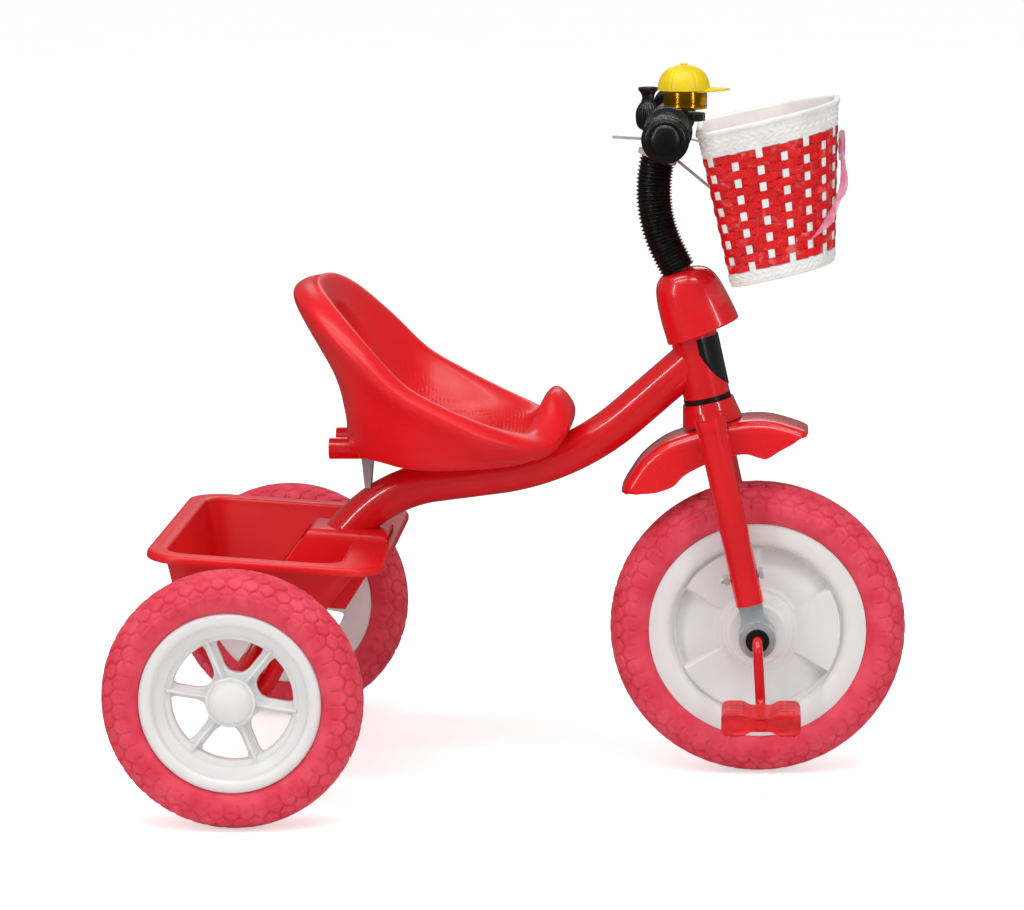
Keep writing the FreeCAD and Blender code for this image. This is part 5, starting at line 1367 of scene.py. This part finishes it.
class TRICYCLE_OT_stage(bpy.types.Operator):
    """Adds the pale floor, the soft lights and the camera"""
    bl_idname = "tricycle.stage"
    bl_label = "Stage"

    def execute(self, context):
        scene = context.scene
        scene.view_settings.view_transform = "Standard"
        make_floor()
        make_camera(scene)
        make_world(scene)
        add_light("Overhead light", "SUN", 0.5, (math.radians(18), math.radians(-8), 0.0),
                  angle=math.radians(70))
        for name, place, (width, height), power in SOFTBOXES:
            turn = (SOFTBOX_AIM - Vector(place)).to_track_quat("-Z", "Y").to_euler()
            add_light(name, "AREA", power, turn, place, shape="RECTANGLE", size=width, size_y=height)
        return {"FINISHED"}


def add_light(name, kind, power, turn, place=(0.0, 0.0, 0.0), **settings):
    """Adds a light with its settings, turned and placed."""
    lamp = bpy.data.lights.new(name, kind)
    lamp.energy = power
    for setting, value in settings.items():
        setattr(lamp, setting, value)
    lamp_object = bpy.data.objects.new(name, lamp)
    bpy.context.scene.collection.objects.link(lamp_object)
    lamp_object.location = place
    lamp_object.rotation_euler = turn


def make_floor():
    """A wide pale disc just under the wheels."""
    radius = np.array([0.0, 2.0, 8.0, 30.0])[None, :]
    angle = turns(64)
    points = np.stack([radius * np.cos(angle), radius * np.sin(angle), -0.0004 + 0 * radius * angle], -1)
    vertices, quads, triangles, _ = grid(points, around=True, poles=(True, False))
    mesh = bpy.data.meshes.new("floor")
    mesh.from_pydata(vertices.tolist(), [], quads[:, ::-1].tolist() + triangles[:, ::-1].tolist())
    floor = bpy.data.objects.new("floor", mesh)
    bpy.context.scene.collection.objects.link(floor)
    paper = finish("Pale paper", "#FCFCFC", "#FBFBFB", 400, (0.82, 0.86), 3.0, 0.005,
                   tint=paper_tint, Specular_IOR_Level=0.1, Emission_Strength=0.55)
    rays = add_node(paper, "ShaderNodeLightPath")
    glow = blended(paper, rays.outputs["Is Camera Ray"], (0.0, 0.0, 0.0, 1.0), (1.0, 1.0, 1.0, 1.0))
    paper.node_tree.links.new(glow, paper.node_tree.nodes["Principled BSDF"].inputs["Emission Color"])
    mesh.materials.append(paper)


def paper_tint(material, place, base):
    """The paper as it is, but a dark grey where glossy surfaces mirror it, so that they keep their depth."""
    rays = add_node(material, "ShaderNodeLightPath")
    return blended(material, rays.outputs["Is Glossy Ray"], base, opaque("#5A5A5A"))


def make_camera(scene):
    """A long lens, turned by yaw, pitch and roll."""
    yaw, pitch, roll = CAMERA_YAW, CAMERA_PITCH, CAMERA_ROLL
    forward = Vector((math.sin(yaw) * math.cos(pitch), math.cos(yaw) * math.cos(pitch), -math.sin(pitch)))
    right = Vector((math.cos(yaw), -math.sin(yaw), 0.0))
    up = right.cross(forward)
    rolled_right = right * math.cos(roll) + up * math.sin(roll)
    rolled_up = up * math.cos(roll) - right * math.sin(roll)
    lens = bpy.data.cameras.new("camera")
    lens.lens = CAMERA_LENS
    lens.sensor_width = SENSOR
    lens.clip_end = 200.0
    camera = bpy.data.objects.new("camera", lens)
    axes = Matrix((rolled_right, rolled_up, -forward)).transposed().to_4x4()
    camera.matrix_world = Matrix.Translation(CAMERA_PLACE) @ axes
    scene.collection.objects.link(camera)
    scene.camera = camera


def make_world(scene):
    """An even white surround, dimmer where glossy surfaces mirror it, so that the softboxes draw their
    highlights."""
    world = bpy.data.worlds.new("surround")
    world.use_nodes = True
    scene.world = world
    rays = add_node(world, "ShaderNodeLightPath")
    level = add_node(world, "ShaderNodeMapRange", {"Value": rays.outputs["Is Glossy Ray"], "To Min": 0.32,
                                                   "To Max": 0.16})
    seen = add_node(world, "ShaderNodeMapRange", {"Value": rays.outputs["Is Camera Ray"],
                                                  "To Min": level.outputs[0], "To Max": 1.0})
    background = world.node_tree.nodes["Background"]
    background.inputs["Color"].default_value = (1.0, 1.0, 1.0, 1.0)
    world.node_tree.links.new(seen.outputs[0], background.inputs["Strength"])


OPERATORS = [TRICYCLE_OT_finishes, TRICYCLE_OT_stage, TRICYCLE_OT_tyres, TRICYCLE_OT_wheels,
             TRICYCLE_OT_pedals, TRICYCLE_OT_seat, TRICYCLE_OT_bucket, TRICYCLE_OT_mudguard,
             TRICYCLE_OT_handlebar, TRICYCLE_OT_bell_and_horn, TRICYCLE_OT_basket]


class TRICYCLE_PT_pieces(bpy.types.Panel):
    """Lists the tricycle's pieces"""
    bl_idname = "TRICYCLE_PT_pieces"
    bl_label = "Tricycle"
    bl_space_type = "VIEW_3D"
    bl_region_type = "UI"
    bl_category = "Tricycle"

    def draw(self, context):
        for operator in OPERATORS:
            self.layout.operator(operator.bl_idname)
        for group in (settings_of(context).sizes, settings_of(context).colours):
            for name in group.bl_rna.properties.keys():
                if name not in ("rna_type", "name"):
                    self.layout.prop(group, name)


CLASSES = [TricycleColours, TricycleSizes, TricycleSettings, *OPERATORS, TRICYCLE_PT_pieces]


def register():
    for cls in CLASSES:
        bpy.utils.register_class(cls)
    bpy.types.Scene.tricycle = PointerProperty(type=TricycleSettings)


def unregister():
    del bpy.types.Scene.tricycle
    for cls in reversed(CLASSES):
        bpy.utils.unregister_class(cls)


def main():
    """Builds every piece in order."""
    register()
    bpy.ops.tricycle.finishes()
    bpy.ops.tricycle.stage()
    bpy.ops.tricycle.tyres()
    bpy.ops.tricycle.wheels()
    bpy.ops.tricycle.pedals()
    bpy.ops.tricycle.seat()
    bpy.ops.tricycle.bucket()
    bpy.ops.tricycle.mudguard()
    bpy.ops.tricycle.handlebar()
    bpy.ops.tricycle.bell_and_horn()
    bpy.ops.tricycle.basket()


if __name__ == "__main__":
    main()
